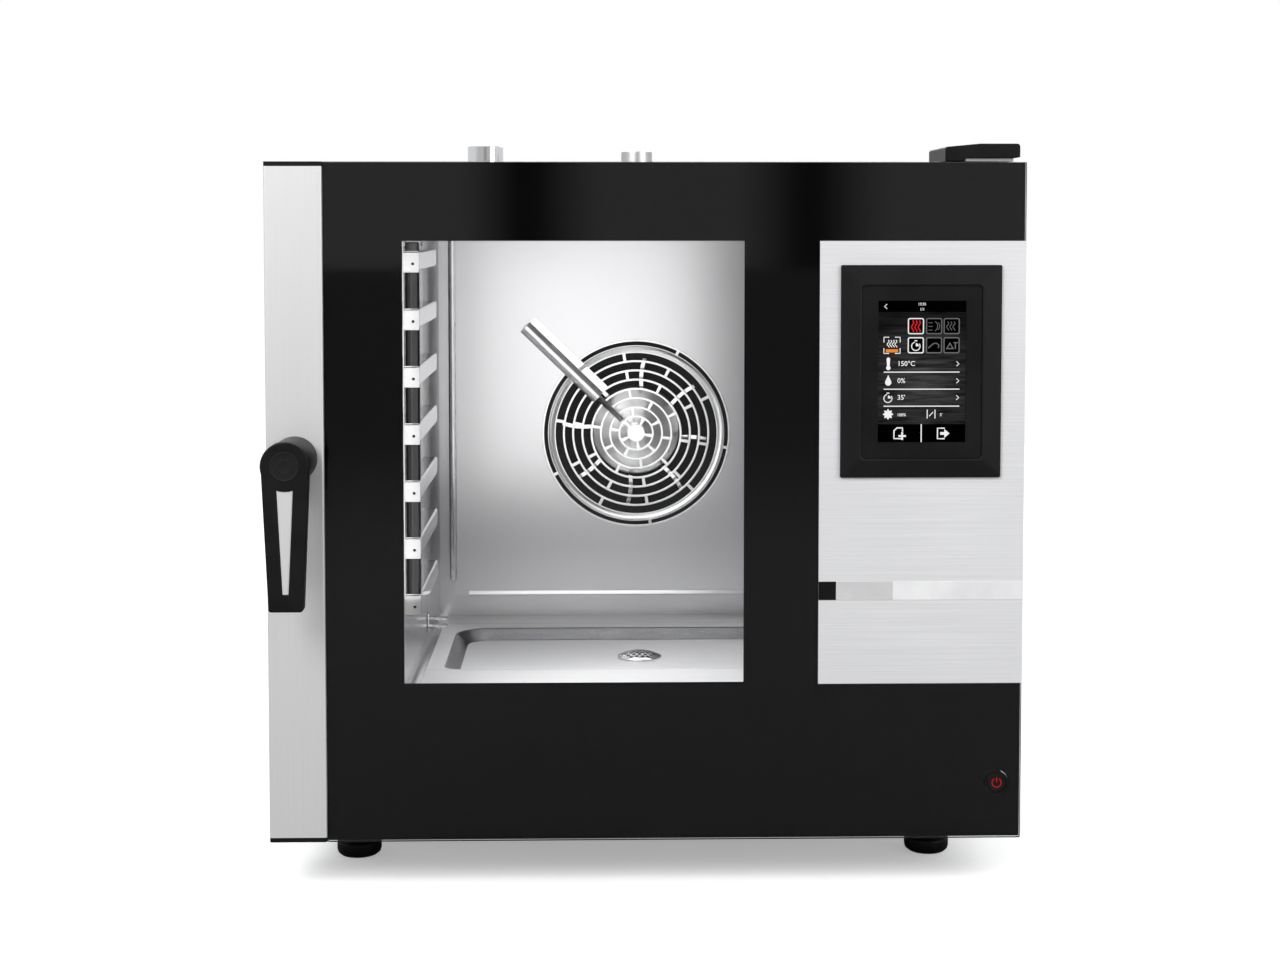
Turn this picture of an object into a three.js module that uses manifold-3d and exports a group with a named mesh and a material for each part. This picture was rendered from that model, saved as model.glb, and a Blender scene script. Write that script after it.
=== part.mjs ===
// Countertop combi steamer oven with a full-width glass door that carries the touch controls.
// Millimetres, +Z up, +X to the right of a person facing the door, +Y towards the back.
// Inside the oven group, y is the depth behind the front face of the door.
import * as THREE from "three";
import { mergeVertices } from "three/addons/utils/BufferGeometryUtils.js";
import Module from "manifold-3d";

const wasm = await Module();
wasm.setup();

// ---- driving dimensions ----
const gap = 0.3; // clearance between pieces that touch
const handleReach = 72; // front of the lever ahead of the door
const overallDepth = 922; // lever to the rear connections
const doorFrontY = handleReach - overallDepth / 2;

const doorHalf = 410;
const doorBottom = 55;
const doorTop = 794;
const doorDepth = 62;
const glassThick = 5;
const columnRight = -347.4;
const glassLeft = columnRight + gap;
const windowLeft = -263;
const windowRight = 106;
const windowBottom = 228;
const windowTop = 709;
const innerWindow = { left: -277, right: 120, bottom: 203, top: 718 };

const bodyHalf = 400;
const bodyFront = 76;
const bodyRear = 822;
const bodyBottom = 60;
const bodyTop = 791;
const sheet = 1.2;

const chamberHalf = 280;
const chamberFloor = 165;
const chamberCeiling = 729;
const chamberRear = 675;
const chamberCorner = 14;
const linerThick = 1.5;
const wellHalf = 246;
const wellFront = 344;
const wellRear = 587;
const wellDepth = 14;
const wellCorner = 44;
const wellFrontCorner = 15;
const drainX = 2;
const drainY = 467;

const insulationHalf = 318;
const insulationBottom = 134.5;
const insulationTop = 766;
const insulationRear = 712;

const fanZ = 438;
const baffleY = 580;
const baffleHalf = 252;
const baffleBottom = 213;
const baffleTop = 712;
const guardRadius = 130.2;

const railCount = 7;
const railPitch = 64.8;
const railTopHighest = 697;
const railHeight = 22;
const railInner = 253;
const rackSheetX = 270.5;
const rackFront = 96;
const rackRear = 320;

const ventX = -205;
const reliefX = 0;
const ventY = 550;
const ventTop = 832;
const ventRadius = 24;
const reliefTop = 827;
const reliefRadius = 21;
const damperZ = 778;

const hingeX = 385;
const hingeY = 35;
const hingePinRadius = 5;
const handleX = -378.5;
const handleZ = 475;
const leverLength = 153;
const buttonX = 383.6;
const buttonZ = 116.3;

const fascia = { left: 187, right: 410, bottom: 227, top: 709 };
const bezel = { left: 209.5, right: 383.5, bottom: 453, top: 683.1 };
const screenOpening = { left: 249.5, right: 344.5, bottom: 491.7, top: 644.7 };

const footX = 329;
const footFrontY = 130;
const footRearY = 770;

const keeper = { left: -397.5, right: -357, halfHeight: 32, pocket: 17.5, depth: 26 };
const drainPipeZ = 112;
const drainPipeRadius = 19.5;
const valve = { x: -149, z: 250, tubeZ: fanZ + 143.7 };
const channelTilt = 0.77; // radians below the horizontal, towards the fan's centre
const elementX = 190;
const elementGap = 40;
const gland = { x: 330, z: 130 };

// ---- materials ----
const finish = (color, roughness, metalness) =>
  new THREE.MeshStandardMaterial({ color, roughness, metalness });
const steel = finish(0xd4d4d6, 0.3, 1);
const brushed = finish(0xe2e2e4, 0.4, 1);
const galvanised = finish(0xa8abae, 0.5, 1);
const blackPlastic = finish(0x1c1c1d, 0.6, 0);
const blackEnamel = finish(0x101011, 0.15, 0);
const silicone = finish(0x2a2a2c, 0.8, 0);
const wool = finish(0xc9b98a, 0.95, 0);
const castMotor = finish(0x5c6064, 0.55, 0.8);
const boardGreen = finish(0x1f5a35, 0.6, 0);
const brass = finish(0xb59a5a, 0.35, 1);
const lampWhite = finish(0xfff6df, 0.4, 0);
const clearGlass = new THREE.MeshStandardMaterial({
  color: 0xdfe6e8,
  roughness: 0.05,
  metalness: 0,
  transparent: true,
  opacity: 0.3,
});

// ---- shape helpers ----
function solidOf(geometry) {
  const bare = new THREE.BufferGeometry();
  bare.setAttribute("position", geometry.getAttribute("position"));
  if (geometry.index) bare.setIndex(geometry.index);
  const merged = mergeVertices(bare, 1e-4);
  const mesh = new wasm.Mesh({
    numProp: 3,
    vertProperties: merged.attributes.position.array,
    triVerts: new Uint32Array(merged.index.array),
  });
  return new wasm.Manifold(mesh);
}

function geometryOf(solid) {
  const mesh = solid.getMesh();
  const geometry = new THREE.BufferGeometry();
  geometry.setAttribute("position", new THREE.BufferAttribute(mesh.vertProperties, 3));
  geometry.setIndex(new THREE.BufferAttribute(mesh.triVerts, 1));
  geometry.computeVertexNormals();
  return geometry;
}

function join(...geometries) {
  return geometryOf(geometries.map(solidOf).reduce((all, next) => all.add(next)));
}

function cut(geometry, ...tools) {
  return geometryOf(tools.map(solidOf).reduce((left, tool) => left.subtract(tool), solidOf(geometry)));
}

function box(x0, x1, y0, y1, z0, z1) {
  const geometry = new THREE.BoxGeometry(x1 - x0, y1 - y0, z1 - z0);
  return geometry.translate((x0 + x1) / 2, (y0 + y1) / 2, (z0 + z1) / 2);
}

function rodY(radius, y0, y1, x = 0, z = 0, sides = 24) {
  const geometry = new THREE.CylinderGeometry(radius, radius, y1 - y0, sides);
  return geometry.translate(x, (y0 + y1) / 2, z);
}

function rodX(radius, x0, x1, y = 0, z = 0, sides = 16) {
  const geometry = new THREE.CylinderGeometry(radius, radius, x1 - x0, sides);
  return geometry.rotateZ(-Math.PI / 2).translate((x0 + x1) / 2, y, z);
}

function rodZ(radius, z0, z1, x = 0, y = 0, sides = 24) {
  const geometry = new THREE.CylinderGeometry(radius, radius, z1 - z0, sides);
  return geometry.rotateX(Math.PI / 2).translate(x, y, (z0 + z1) / 2);
}

// A profile of [radius, height] pairs turned round the Z axis.
function turned(profile, sides = 20) {
  const points = profile.map(([radius, height]) => new THREE.Vector2(radius, height));
  return new THREE.LatheGeometry(points, sides).rotateX(Math.PI / 2);
}

function outline(points) {
  return new THREE.Shape(points.map(([a, b]) => new THREE.Vector2(a, b)));
}

function roundedRect(x0, x1, y0, y1, radius, kind = THREE.Shape) {
  const shape = new kind();
  shape.moveTo(x0 + radius, y0);
  shape.absarc(x1 - radius, y0 + radius, radius, -Math.PI / 2, 0, false);
  shape.absarc(x1 - radius, y1 - radius, radius, 0, Math.PI / 2, false);
  shape.absarc(x0 + radius, y1 - radius, radius, Math.PI / 2, Math.PI, false);
  shape.absarc(x0 + radius, y0 + radius, radius, Math.PI, 1.5 * Math.PI, false);
  return shape;
}

function extruded(shape, depth, curveSegments = 3) {
  return new THREE.ExtrudeGeometry(shape, { depth, bevelEnabled: false, curveSegments });
}

// An outline in (x, z), given thickness from depth y0 to y1.
function plateXZ(shape, y0, y1, curveSegments = 3) {
  return extruded(shape, y1 - y0, curveSegments).rotateX(Math.PI / 2).translate(0, y1, 0);
}

// An outline in (y, z), given thickness from x0 to x1.
function plateYZ(shape, x0, x1, curveSegments = 3) {
  const turn = new THREE.Matrix4().makeBasis(
    new THREE.Vector3(0, 1, 0),
    new THREE.Vector3(0, 0, 1),
    new THREE.Vector3(1, 0, 0),
  );
  return extruded(shape, x1 - x0, curveSegments).applyMatrix4(turn).translate(x0, 0, 0);
}

// A closed solid between two outlines that have the same number of points, at two heights.
function loft(lower, lowerZ, upper, upperZ) {
  const count = lower.length;
  const faces = THREE.ShapeUtils.triangulateShape(lower, []);
  const positions = [...lower.map((p) => [p.x, p.y, lowerZ]), ...upper.map((p) => [p.x, p.y, upperZ])];
  const index = [];
  for (const [a, b, c] of faces) {
    index.push(c, b, a);
    index.push(a + count, b + count, c + count);
  }
  for (let i = 0; i < count; i++) {
    const next = (i + 1) % count;
    index.push(i, next, next + count);
    index.push(i, next + count, i + count);
  }
  const geometry = new THREE.BufferGeometry();
  geometry.setAttribute("position", new THREE.Float32BufferAttribute(positions.flat(), 3));
  geometry.setIndex(index);
  return geometry;
}

function swept(shape, points, steps, curveSegments = 8) {
  const path = new THREE.CatmullRomCurve3(points.map((p) => new THREE.Vector3(...p)), false, "centripetal");
  return new THREE.ExtrudeGeometry(shape, {
    steps,
    curveSegments,
    extrudePath: path,
    bevelEnabled: false,
  });
}

function circleShape(radius, bore = 0) {
  const shape = new THREE.Shape();
  shape.absarc(0, 0, radius, 0, 2 * Math.PI, false);
  if (bore > 0) {
    const hole = new THREE.Path();
    hole.absarc(0, 0, bore, 0, 2 * Math.PI, true);
    shape.holes.push(hole);
  }
  return shape;
}

// A frame: an outer rounded rectangle with a rounded rectangular hole, in (x, z).
function frameXZ(outer, inner, y0, y1, outerRadius, innerRadius) {
  const shape = roundedRect(outer.left, outer.right, outer.bottom, outer.top, outerRadius);
  shape.holes.push(roundedRect(inner.left, inner.right, inner.bottom, inner.top, innerRadius, THREE.Path));
  return plateXZ(shape, y0, y1);
}

function grow(area, by) {
  return {
    left: area.left - by,
    right: area.right + by,
    bottom: area.bottom - by,
    top: area.top + by,
  };
}

// ---- body ----
function baseFrame() {
  const outer = box(-397.5, 397.5, 82, 816, bodyBottom, 88);
  return cut(outer, box(-367, 367, 112, 786, bodyBottom + 2, 89));
}

function sidePanel(side) {
  const out = bodyHalf;
  const inner = bodyHalf - sheet;
  const lip = bodyHalf - 14;
  const front = bodyFront + 4;
  const rear = bodyRear - 1.8;
  const section = outline([
    [lip, front],
    [out, front],
    [out, rear],
    [lip, rear],
    [lip, rear - sheet],
    [inner, rear - sheet],
    [inner, front + sheet],
    [lip, front + sheet],
  ]);
  const bottom = bodyBottom + 1;
  const panel = extruded(section, 788.5 - bottom).translate(0, 0, bottom);
  if (side > 0) return panel;
  // The left panel's front lip is notched for the latch keeper.
  const clear = keeper.halfHeight + 4;
  const notch = box(-bodyHalf + sheet, -lip + 1, front - 1, front + 2, handleZ - clear, handleZ + clear);
  return cut(panel.rotateZ(Math.PI).translate(0, front + rear, 0), notch);
}

function topPanel() {
  const skin = bodyHalf + 2;
  const outer = box(-skin, skin, bodyFront + 2.3, bodyRear + 2, bodyTop - 15, bodyTop);
  return cut(
    outer,
    box(-skin + sheet, skin - sheet, bodyFront + 3.5, bodyRear + 0.7, bodyTop - 16, bodyTop - sheet),
    rodZ(ventRadius + 0.6, bodyTop - 4, bodyTop + 1, ventX, ventY),
    rodZ(reliefRadius + 0.6, bodyTop - 4, bodyTop + 1, reliefX, ventY),
  );
}

function rearPanel() {
  const inner = bodyRear - 1.4;
  const louvres = [];
  const louvreRows = 6;
  for (const centre of [-110, 110, 330]) {
    for (let row = 0; row < louvreRows; row++) {
      const low = 560 + row * 22;
      const wide = centre > 200 ? 40 : 70;
      louvres.push(box(centre - wide, centre + wide, inner - 1, bodyRear + 1, low, low + 7));
    }
  }
  return cut(
    box(-396, 396, inner, bodyRear, 62, 787),
    ...louvres,
    rodY(drainPipeRadius + 1.1, inner - 2, bodyRear + 2, drainX, drainPipeZ),
    rodY(11.5, inner - 2, bodyRear + 2, valve.x, valve.z),
    rodY(13.5, inner - 2, bodyRear + 2, gland.x, gland.z),
  );
}

function frontFrame() {
  const outer = { left: -402, right: 402, bottom: bodyBottom + 1, top: bodyTop };
  const mouth = { left: -chamberHalf, right: chamberHalf, bottom: chamberFloor, top: chamberCeiling };
  const plate = frameXZ(outer, mouth, bodyFront, bodyFront + 2, 2, chamberCorner);
  // The left edge is notched where the latch reaches through to its keeper.
  const half = keeper.pocket + 6;
  const low = handleZ - half;
  return cut(plate, box(outer.left - 1, handleX + half, bodyFront - 1, bodyFront + 3, low, low + 2 * half));
}

// The drained well: wide corners at the rear, tight ones in front, sides sloping at 45 degrees.
function wellOutline(half, front, rear, frontCorner, rearCorner) {
  const shape = new THREE.Shape();
  shape.moveTo(-half + frontCorner, front);
  shape.absarc(half - frontCorner, front + frontCorner, frontCorner, -Math.PI / 2, 0, false);
  shape.absarc(half - rearCorner, rear - rearCorner, rearCorner, 0, Math.PI / 2, false);
  shape.absarc(-half + rearCorner, rear - rearCorner, rearCorner, Math.PI / 2, Math.PI, false);
  shape.absarc(-half + frontCorner, front + frontCorner, frontCorner, Math.PI, 1.5 * Math.PI, false);
  return shape.getPoints(3);
}

function wellSolid(extra) {
  const half = wellHalf + extra;
  const front = wellFront - extra;
  const rear = wellRear + extra;
  const inset = wellDepth;
  const top = wellOutline(half, front, rear, wellFrontCorner, wellCorner);
  const [tight, wide] = [wellFrontCorner - inset, wellCorner - inset];
  const low = wellOutline(half - inset, front + inset, rear - inset, tight, wide);
  // The last point repeats the first one, so it is left out of both outlines.
  return loft(low.slice(0, -1), chamberFloor - wellDepth - extra, top.slice(0, -1), chamberFloor + 2);
}

function chamberOuter() {
  const section = roundedRect(
    -chamberHalf - linerThick,
    chamberHalf + linerThick,
    chamberFloor - linerThick,
    chamberCeiling + linerThick,
    chamberCorner + linerThick,
  );
  const walls = plateXZ(section, bodyFront + 2 + gap, chamberRear + linerThick);
  return join(walls, wellSolid(linerThick));
}

function chamberLiner() {
  const section = roundedRect(-chamberHalf, chamberHalf, chamberFloor, chamberCeiling, chamberCorner);
  return cut(
    chamberOuter(),
    plateXZ(section, bodyFront, chamberRear),
    wellSolid(0),
    rodY(18, chamberRear - 5, chamberRear + 5, 0, fanZ),
    rodY(8, chamberRear - 5, chamberRear + 5, valve.x, valve.tubeZ, 16),
    rodY(7, chamberRear - 5, chamberRear + 5, elementX, fanZ, 16),
    rodY(7, chamberRear - 5, chamberRear + 5, elementX, fanZ - elementGap, 16),
    rodZ(24, chamberFloor - 30, chamberFloor, drainX, drainY),
    rodZ(ventRadius + 0.4, chamberCeiling - 5, chamberCeiling + 5, ventX, ventY),
    rodZ(reliefRadius + 0.4, chamberCeiling - 5, chamberCeiling + 5, reliefX, ventY),
  );
}

function insulationBlanket() {
  const wellBottom = chamberFloor - wellDepth;
  const outer = box(
    -insulationHalf,
    insulationHalf,
    bodyFront + 2.6,
    insulationRear,
    insulationBottom,
    insulationTop,
  );
  return cut(
    outer,
    box(-282.2, 282.2, bodyFront, chamberRear + 2.2, chamberFloor - 2.2, chamberCeiling + 2.2),
    box(-wellHalf - 2, wellHalf + 2, wellFront - 2, wellRear + 2, wellBottom - 2.2, chamberFloor),
    rodY(22, chamberRear, insulationRear + 1, 0, fanZ),
    rodY(9, chamberRear, insulationRear + 1, valve.x, valve.tubeZ, 16),
    rodY(8, chamberRear, insulationRear + 1, elementX, fanZ, 16),
    rodY(8, chamberRear, insulationRear + 1, elementX, fanZ - elementGap, 16),
    rodZ(26, insulationBottom - 1, chamberFloor, drainX, drainY),
    rodZ(ventRadius + 1, chamberCeiling, insulationTop + 1, ventX, ventY),
    rodZ(reliefRadius + 1, chamberCeiling, insulationTop + 1, reliefX, ventY),
  );
}

function doorGasket() {
  const mouth = { left: -chamberHalf, right: chamberHalf, bottom: chamberFloor, top: chamberCeiling };
  return frameXZ(grow(mouth, 15), grow(mouth, 4), doorDepth + 0.6, bodyFront - gap, 24, 16);
}

// ---- hot air and steam ----
function fanBaffle() {
  const shape = roundedRect(-baffleHalf, baffleHalf, baffleBottom, baffleTop, 3);
  const plate = plateXZ(shape, baffleY, baffleY + linerThick);
  const hem = (x) => box(x, x + linerThick, baffleY, baffleY + 22, baffleBottom + 18, baffleTop - 4);
  const foot = (x, z) => rodY(6, baffleY, chamberRear - gap, x, z, 12);
  const welded = join(
    plate,
    hem(-baffleHalf),
    hem(baffleHalf - linerThick),
    box(-baffleHalf + 20, baffleHalf - 20, baffleY, baffleY + 14, baffleBottom, baffleBottom + linerThick),
    foot(-225, 245),
    foot(225, 245),
    foot(-225, 680),
    foot(225, 680),
  );
  return cut(
    welded,
    rodY(guardRadius + gap, baffleY - 1, baffleY + 3, 0, fanZ, 48),
    rodY(10, baffleY - 1, baffleY + 3, valve.x + 2.5, valve.tubeZ - 2.2, 16),
  );
}

// One curved slot between two radii, as a hole in the guard's outline.
function slotPath(inner, outer, from, to) {
  const path = new THREE.Path();
  path.absarc(0, 0, outer, from, to, false);
  path.absarc(0, 0, inner, to, from, true);
  return path;
}

function fanGuard() {
  const shape = new THREE.Shape();
  const outerArcs = 12;
  for (let i = 0; i < outerArcs; i++) {
    const from = (i * 2 * Math.PI) / outerArcs;
    shape.absarc(0, 0, guardRadius, from, from + (2 * Math.PI) / outerArcs, false);
  }
  const rows = 8;
  const hub = 12;
  const pitch = 12.8;
  const wire = 2.9;
  const bridge = 4.2;
  const spokes = 5;
  const firstSpoke = -0.16;
  const rowOf = (inner, outer, start) => {
    const half = bridge / (inner + outer);
    for (let i = 0; i < spokes; i++) {
      const from = start + (i * 2 * Math.PI) / spokes + half;
      const to = start + ((i + 1) * 2 * Math.PI) / spokes - half;
      shape.holes.push(slotPath(inner, outer, from, to));
    }
  };
  // The bridges of neighbouring rows stand half a step apart.
  for (let row = 0; row < rows; row++) {
    const inner = hub + row * pitch;
    rowOf(inner, inner + pitch - wire, firstSpoke + (row % 2) * (Math.PI / spokes));
  }
  rowOf(122.2, 127.4, firstSpoke);
  return plateXZ(shape, 0, linerThick, 2);
}

// The half-round cover and its flange, along the X axis of its own group.
function injectionChannel() {
  const length = 140;
  const radius = 9.5;
  const wall = 1;
  const arc = (r, from, to, clockwise, path) => path.absarc(0, 0, r, from, to, clockwise);
  const section = new THREE.Shape();
  section.moveTo(radius, 0);
  arc(radius, 0, Math.PI, false, section);
  section.lineTo(-radius + wall, 0);
  arc(radius - wall, Math.PI, 0, true, section);
  const channel = plateYZ(section, 0, length, 8);
  const flange = box(0, length, radius - 0.6, radius + 10, 0, wall);
  return join(channel, flange);
}

function injectionTube() {
  const { x, z, tubeZ } = valve;
  const front = baffleY - 4.6;
  const route = [
    [x, 760, z + 12],
    [x, 748, z + 25],
    [x, 745, z + 50],
    [x, 745, tubeZ - 32],
    [x, 740, tubeZ - 10],
    [x, 724, tubeZ],
    [x, 700, tubeZ],
    [x, 590, tubeZ],
    [x + 0.4, 582, tubeZ - 0.4],
    [x + 4, 577, tubeZ - 3.9],
    ...[12, 24, 70, 129].map((run) => [x + run, front, tubeZ - run * Math.tan(channelTilt)]),
  ];
  return swept(circleShape(4), route, 44, 3);
}

function inletValve() {
  const half = 18;
  return join(
    box(valve.x - half, valve.x + half, 764, 816, valve.z - half, valve.z + half),
    rodY(11, 815, bodyRear + 28, valve.x, valve.z, 20),
    rodY(14, 812, 818, valve.x, valve.z, 6),
  );
}

function heatingElement() {
  const radius = 158;
  const turns = 2;
  const points = [];
  const stepsPerTurn = 20;
  points.push([elementX, 740, 0]);
  points.push([elementX, 700, 0]);
  points.push([elementX, 674, 0]);
  points.push([elementX - 3, 659, 6]);
  for (let i = 2; i <= turns * stepsPerTurn - 2; i++) {
    const angle = (i / stepsPerTurn) * 2 * Math.PI;
    const depth = 650 - (i / (turns * stepsPerTurn)) * 34;
    points.push([radius * Math.cos(angle), depth, radius * Math.sin(angle)]);
  }
  points.push([150, 626, -elementGap - 24]);
  points.push([182, 652, -elementGap - 6]);
  points.push([elementX, 674, -elementGap]);
  points.push([elementX, 700, -elementGap]);
  points.push([elementX, 740, -elementGap]);
  return swept(circleShape(4.5), points, 72, 3);
}

function fanWheel() {
  const blades = [];
  const count = 8;
  const bladeStart = 0.63;
  for (let i = 0; i < count; i++) {
    const blade = box(24, 112, 8, 57, -0.8, 0.8);
    blades.push(blade.rotateY(-bladeStart - (i * 2 * Math.PI) / count));
  }
  const hub = new THREE.LatheGeometry(
    [
      [0, 14],
      [14, 14],
      [20, 22],
      [34, 52],
      [114, 56],
      [114, 58.5],
      [14, 58.5],
      [0, 58.5],
    ].map(([r, y]) => new THREE.Vector2(r, y)).reverse(),
    24,
  );
  const ring = new THREE.LatheGeometry(
    [
      [104, 8],
      [114, 8],
      [114, 10],
      [104, 10],
      [104, 8],
    ].map(([r, y]) => new THREE.Vector2(r, y)),
    24,
  );
  return join(fixFacing(hub), fixFacing(ring), ...blades);
}

// Turns a lathe's faces outwards whichever way its profile runs.
function fixFacing(geometry) {
  if (solidOf(geometry).volume() > 0) return geometry;
  const index = geometry.index.array;
  for (let i = 0; i < index.length; i += 3) {
    [index[i], index[i + 1]] = [index[i + 1], index[i]];
  }
  return geometry;
}

function fanMotor() {
  const parts = [
    box(-95, 95, insulationRear + gap, insulationRear + 4.3, -95, 95),
    rodY(64, insulationRear + 4, 808, 0, 0, 20),
    rodY(40, 807, 814, 0, 0, 16),
  ];
  for (let i = 0; i < 3; i++) {
    parts.push(rodY(70, 732 + i * 22, 738 + i * 22, 0, 0, 20));
  }
  return cut(join(...parts), rodY(10.3, insulationRear - 1, 735, 0, 0, 20));
}

function motorShaft() {
  return rodY(10, 652.8, 734, 0, 0, 20);
}

// ---- racks and drain ----
function rackSheet() {
  const low = railTopHighest - (railCount - 1) * railPitch - railHeight - 70;
  const high = railTopHighest + 14;
  const windows = [];
  for (let i = 0; i < railCount; i++) {
    const top = railTopHighest - i * railPitch - railHeight - 1.5;
    windows.push(box(rackSheetX - 1, rackSheetX + 3, rackFront + 24, rackRear - 30, top - 40, top));
  }
  return cut(box(rackSheetX, rackSheetX + 1.5, rackFront, rackRear, low, high), ...windows);
}

function rackRail(index) {
  const top = railTopHighest - index * railPitch;
  const low = top - railHeight;
  const wall = 1.5;
  const outer = rackSheetX + 0.5;
  const section = outline([
    [railInner, low],
    [outer, low],
    [outer, low + wall],
    [railInner + wall, low + wall],
    [railInner + wall, top - wall],
    [outer, top - wall],
    [outer, top],
    [railInner, top],
  ]);
  return plateXZ(section, rackFront, rackRear);
}

function rack(side) {
  const rails = [];
  for (let i = 0; i < railCount; i++) {
    rails.push(rackRail(i));
  }
  const spacers = [
    [rackFront + 8, 240],
    [rackRear - 8, 240],
    [rackFront + 8, 705],
    [rackRear - 8, 705],
  ].map(([y, z]) => rodX(4, rackSheetX + 1, chamberHalf - 1, y, z, 12));
  const right = join(rackSheet(), ...rails, ...spacers);
  if (side > 0) return right;
  return right.rotateZ(Math.PI).translate(0, rackFront + rackRear, 0);
}

function rackStud(side) {
  const wall = chamberHalf - gap;
  const right = join(
    box(wall - 2, wall, 466, 484, 184, 210),
    rodX(3, railInner, wall - 1, 475, 202, 12),
    rodX(3, railInner, wall - 1, 475, 192, 12),
  );
  return side > 0 ? right : right.rotateZ(Math.PI).translate(0, 950, 0);
}

function drainStrainer() {
  const floor = chamberFloor - wellDepth + gap;
  const profile = [
    [0, floor + 7.5],
    [14, floor + 6.6],
    [24, floor + 3.6],
    [29, floor + 0.8],
    [29, floor],
    [22, floor],
    [22, floor - 6],
    [20.5, floor - 6],
    [20.5, floor + 3],
    [12, floor + 5],
    [0, floor + 5.9],
  ];
  return fixFacing(turned(profile, 24)).translate(drainX, drainY, 0);
}

function drainPipe() {
  const top = chamberFloor - wellDepth - linerThick - gap;
  const route = [
    [drainX, drainY, top],
    [drainX, drainY, top - 6],
    [drainX, drainY + 6, drainPipeZ + 10],
    [drainX, drainY + 22, drainPipeZ + 1],
    [drainX, drainY + 40, drainPipeZ],
    [drainX, 700, drainPipeZ],
    [drainX, bodyRear + 28, drainPipeZ],
  ];
  return swept(circleShape(drainPipeRadius, drainPipeRadius - linerThick), route, 14, 5);
}

// ---- vents ----
function ventPipe() {
  const tube = extruded(circleShape(ventRadius, ventRadius - 1.5), ventTop - 727, 16);
  return cut(tube.translate(ventX, ventY, 727), rodX(3.4, ventX, ventX + 40, ventY, damperZ, 12));
}

function ventDamper() {
  const disc = rodZ(21.8, -0.8, 0.8, 0, 0, 32);
  return join(disc, rodX(2.6, -20, 30, 0, 0, 12));
}

function damperMotor() {
  return cut(
    box(ventX + ventRadius + 1.5, ventX + 64, ventY - 15, ventY + 15, 768, 788),
    rodX(3, ventX + 20, ventX + 32, ventY, damperZ, 12),
  );
}

function reliefPipe() {
  const profile = [
    [reliefRadius, 727],
    [reliefRadius, reliefTop - 3],
    [reliefRadius - 2, reliefTop - 1],
    [8, reliefTop],
    [0, reliefTop],
    [0, reliefTop - 1.5],
    [8, reliefTop - 1.5],
    [reliefRadius - 3, reliefTop - 2.6],
    [reliefRadius - 1.5, reliefTop - 4],
    [reliefRadius - 1.5, 727],
    [reliefRadius, 727],
  ];
  return fixFacing(turned(profile, 24)).translate(reliefX, ventY, 0);
}

// ---- hinges ----
// The upper bracket's side outline, in (y, z); the lower one is the same turned over.
function hingeBracket(upper) {
  const under = upper ? doorTop + 1 : doorBottom - 1.4;
  const seat = upper ? bodyTop + gap : bodyBottom - gap;
  const skin = upper ? doorTop + 4 : doorBottom - 4.6;
  const front = upper ? 14 : 24;
  const side = outline([
    [front, under],
    [86, under],
    [86, seat],
    [150, seat],
    [150, skin],
    [front, skin],
  ]);
  const plate = plateYZ(upper ? side : new THREE.Shape(side.getPoints().reverse()), 346, 398);
  const pin = upper
    ? rodZ(hingePinRadius, 774, skin - 1, hingeX, hingeY, 20)
    : rodZ(hingePinRadius, skin + 1, 76, hingeX, hingeY, 20);
  return join(plate, pin);
}

function hingeCover() {
  const shape = new THREE.Shape();
  shape.moveTo(323, 795.2);
  shape.lineTo(343.5, 795.2);
  shape.lineTo(346, 798.4);
  shape.lineTo(400, 798.4);
  shape.lineTo(404.5, 799.4);
  shape.lineTo(404.5, 811);
  shape.absarc(401.5, 811, 3, 0, Math.PI / 2, false);
  shape.lineTo(361, 814);
  shape.lineTo(326, 810.6);
  shape.absarc(326, 807.6, 3, Math.PI / 2, Math.PI, false);
  return cut(plateXZ(shape, 8, 112, 4), box(326, 401.5, 11, 109, 790, 807));
}

function hingeBush(upper) {
  const low = upper ? 775 : 56.2;
  const shape = circleShape(9, hingePinRadius + gap);
  return extruded(shape, 17.6, 10).translate(hingeX, hingeY, low);
}

// ---- feet and rear connections ----
function foot() {
  const profile = [
    [0, 0],
    [18, 0],
    [23.5, 2],
    [25.5, 6],
    [25.5, 15],
    [23.5, 17],
    [15, 17],
    [15, 48],
    [11, 48],
    [11, bodyBottom - gap],
    [0, bodyBottom - gap],
  ];
  return fixFacing(turned(profile, 18));
}

function cableGland() {
  const profile = [
    [0, 0],
    [13, 0],
    [13, 8],
    [17, 8],
    [17, 15],
    [14, 17],
    [12, 30],
    [5, 30],
    [5, 10],
    [0, 10],
  ];
  return fixFacing(turned(profile, 20)).rotateX(-Math.PI / 2);
}

function latchKeeper() {
  const { left, right, halfHeight, pocket, depth } = keeper;
  const seat = bodyFront + 2 + gap;
  const shape = roundedRect(left, right, handleZ - halfHeight, handleZ + halfHeight, 4);
  const plate = plateXZ(shape, seat, seat + linerThick);
  const rear = bodyFront + depth;
  const square = (half, y0, y1) =>
    box(handleX - half, handleX + half, y0, y1, handleZ - half, handleZ + half);
  const housing = square(pocket + linerThick, seat + 1, rear);
  return cut(join(plate, housing), square(pocket, bodyFront, rear - linerThick));
}

// The board in the side bay, with its relays and the contactor for the heaters.
function powerBoard() {
  return join(
    box(336, 340, 180, 560, 250, 620),
    box(339, 362, 200, 300, 520, 600),
    box(339, 380, 440, 520, 300, 390),
  );
}

// ---- door ----
function doorGlass() {
  const shape = roundedRect(glassLeft, doorHalf, doorBottom, doorTop, 2);
  return cut(plateXZ(shape, 0, glassThick, 3), rodY(13, -1, glassThick + 1, buttonX, buttonZ));
}

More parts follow.
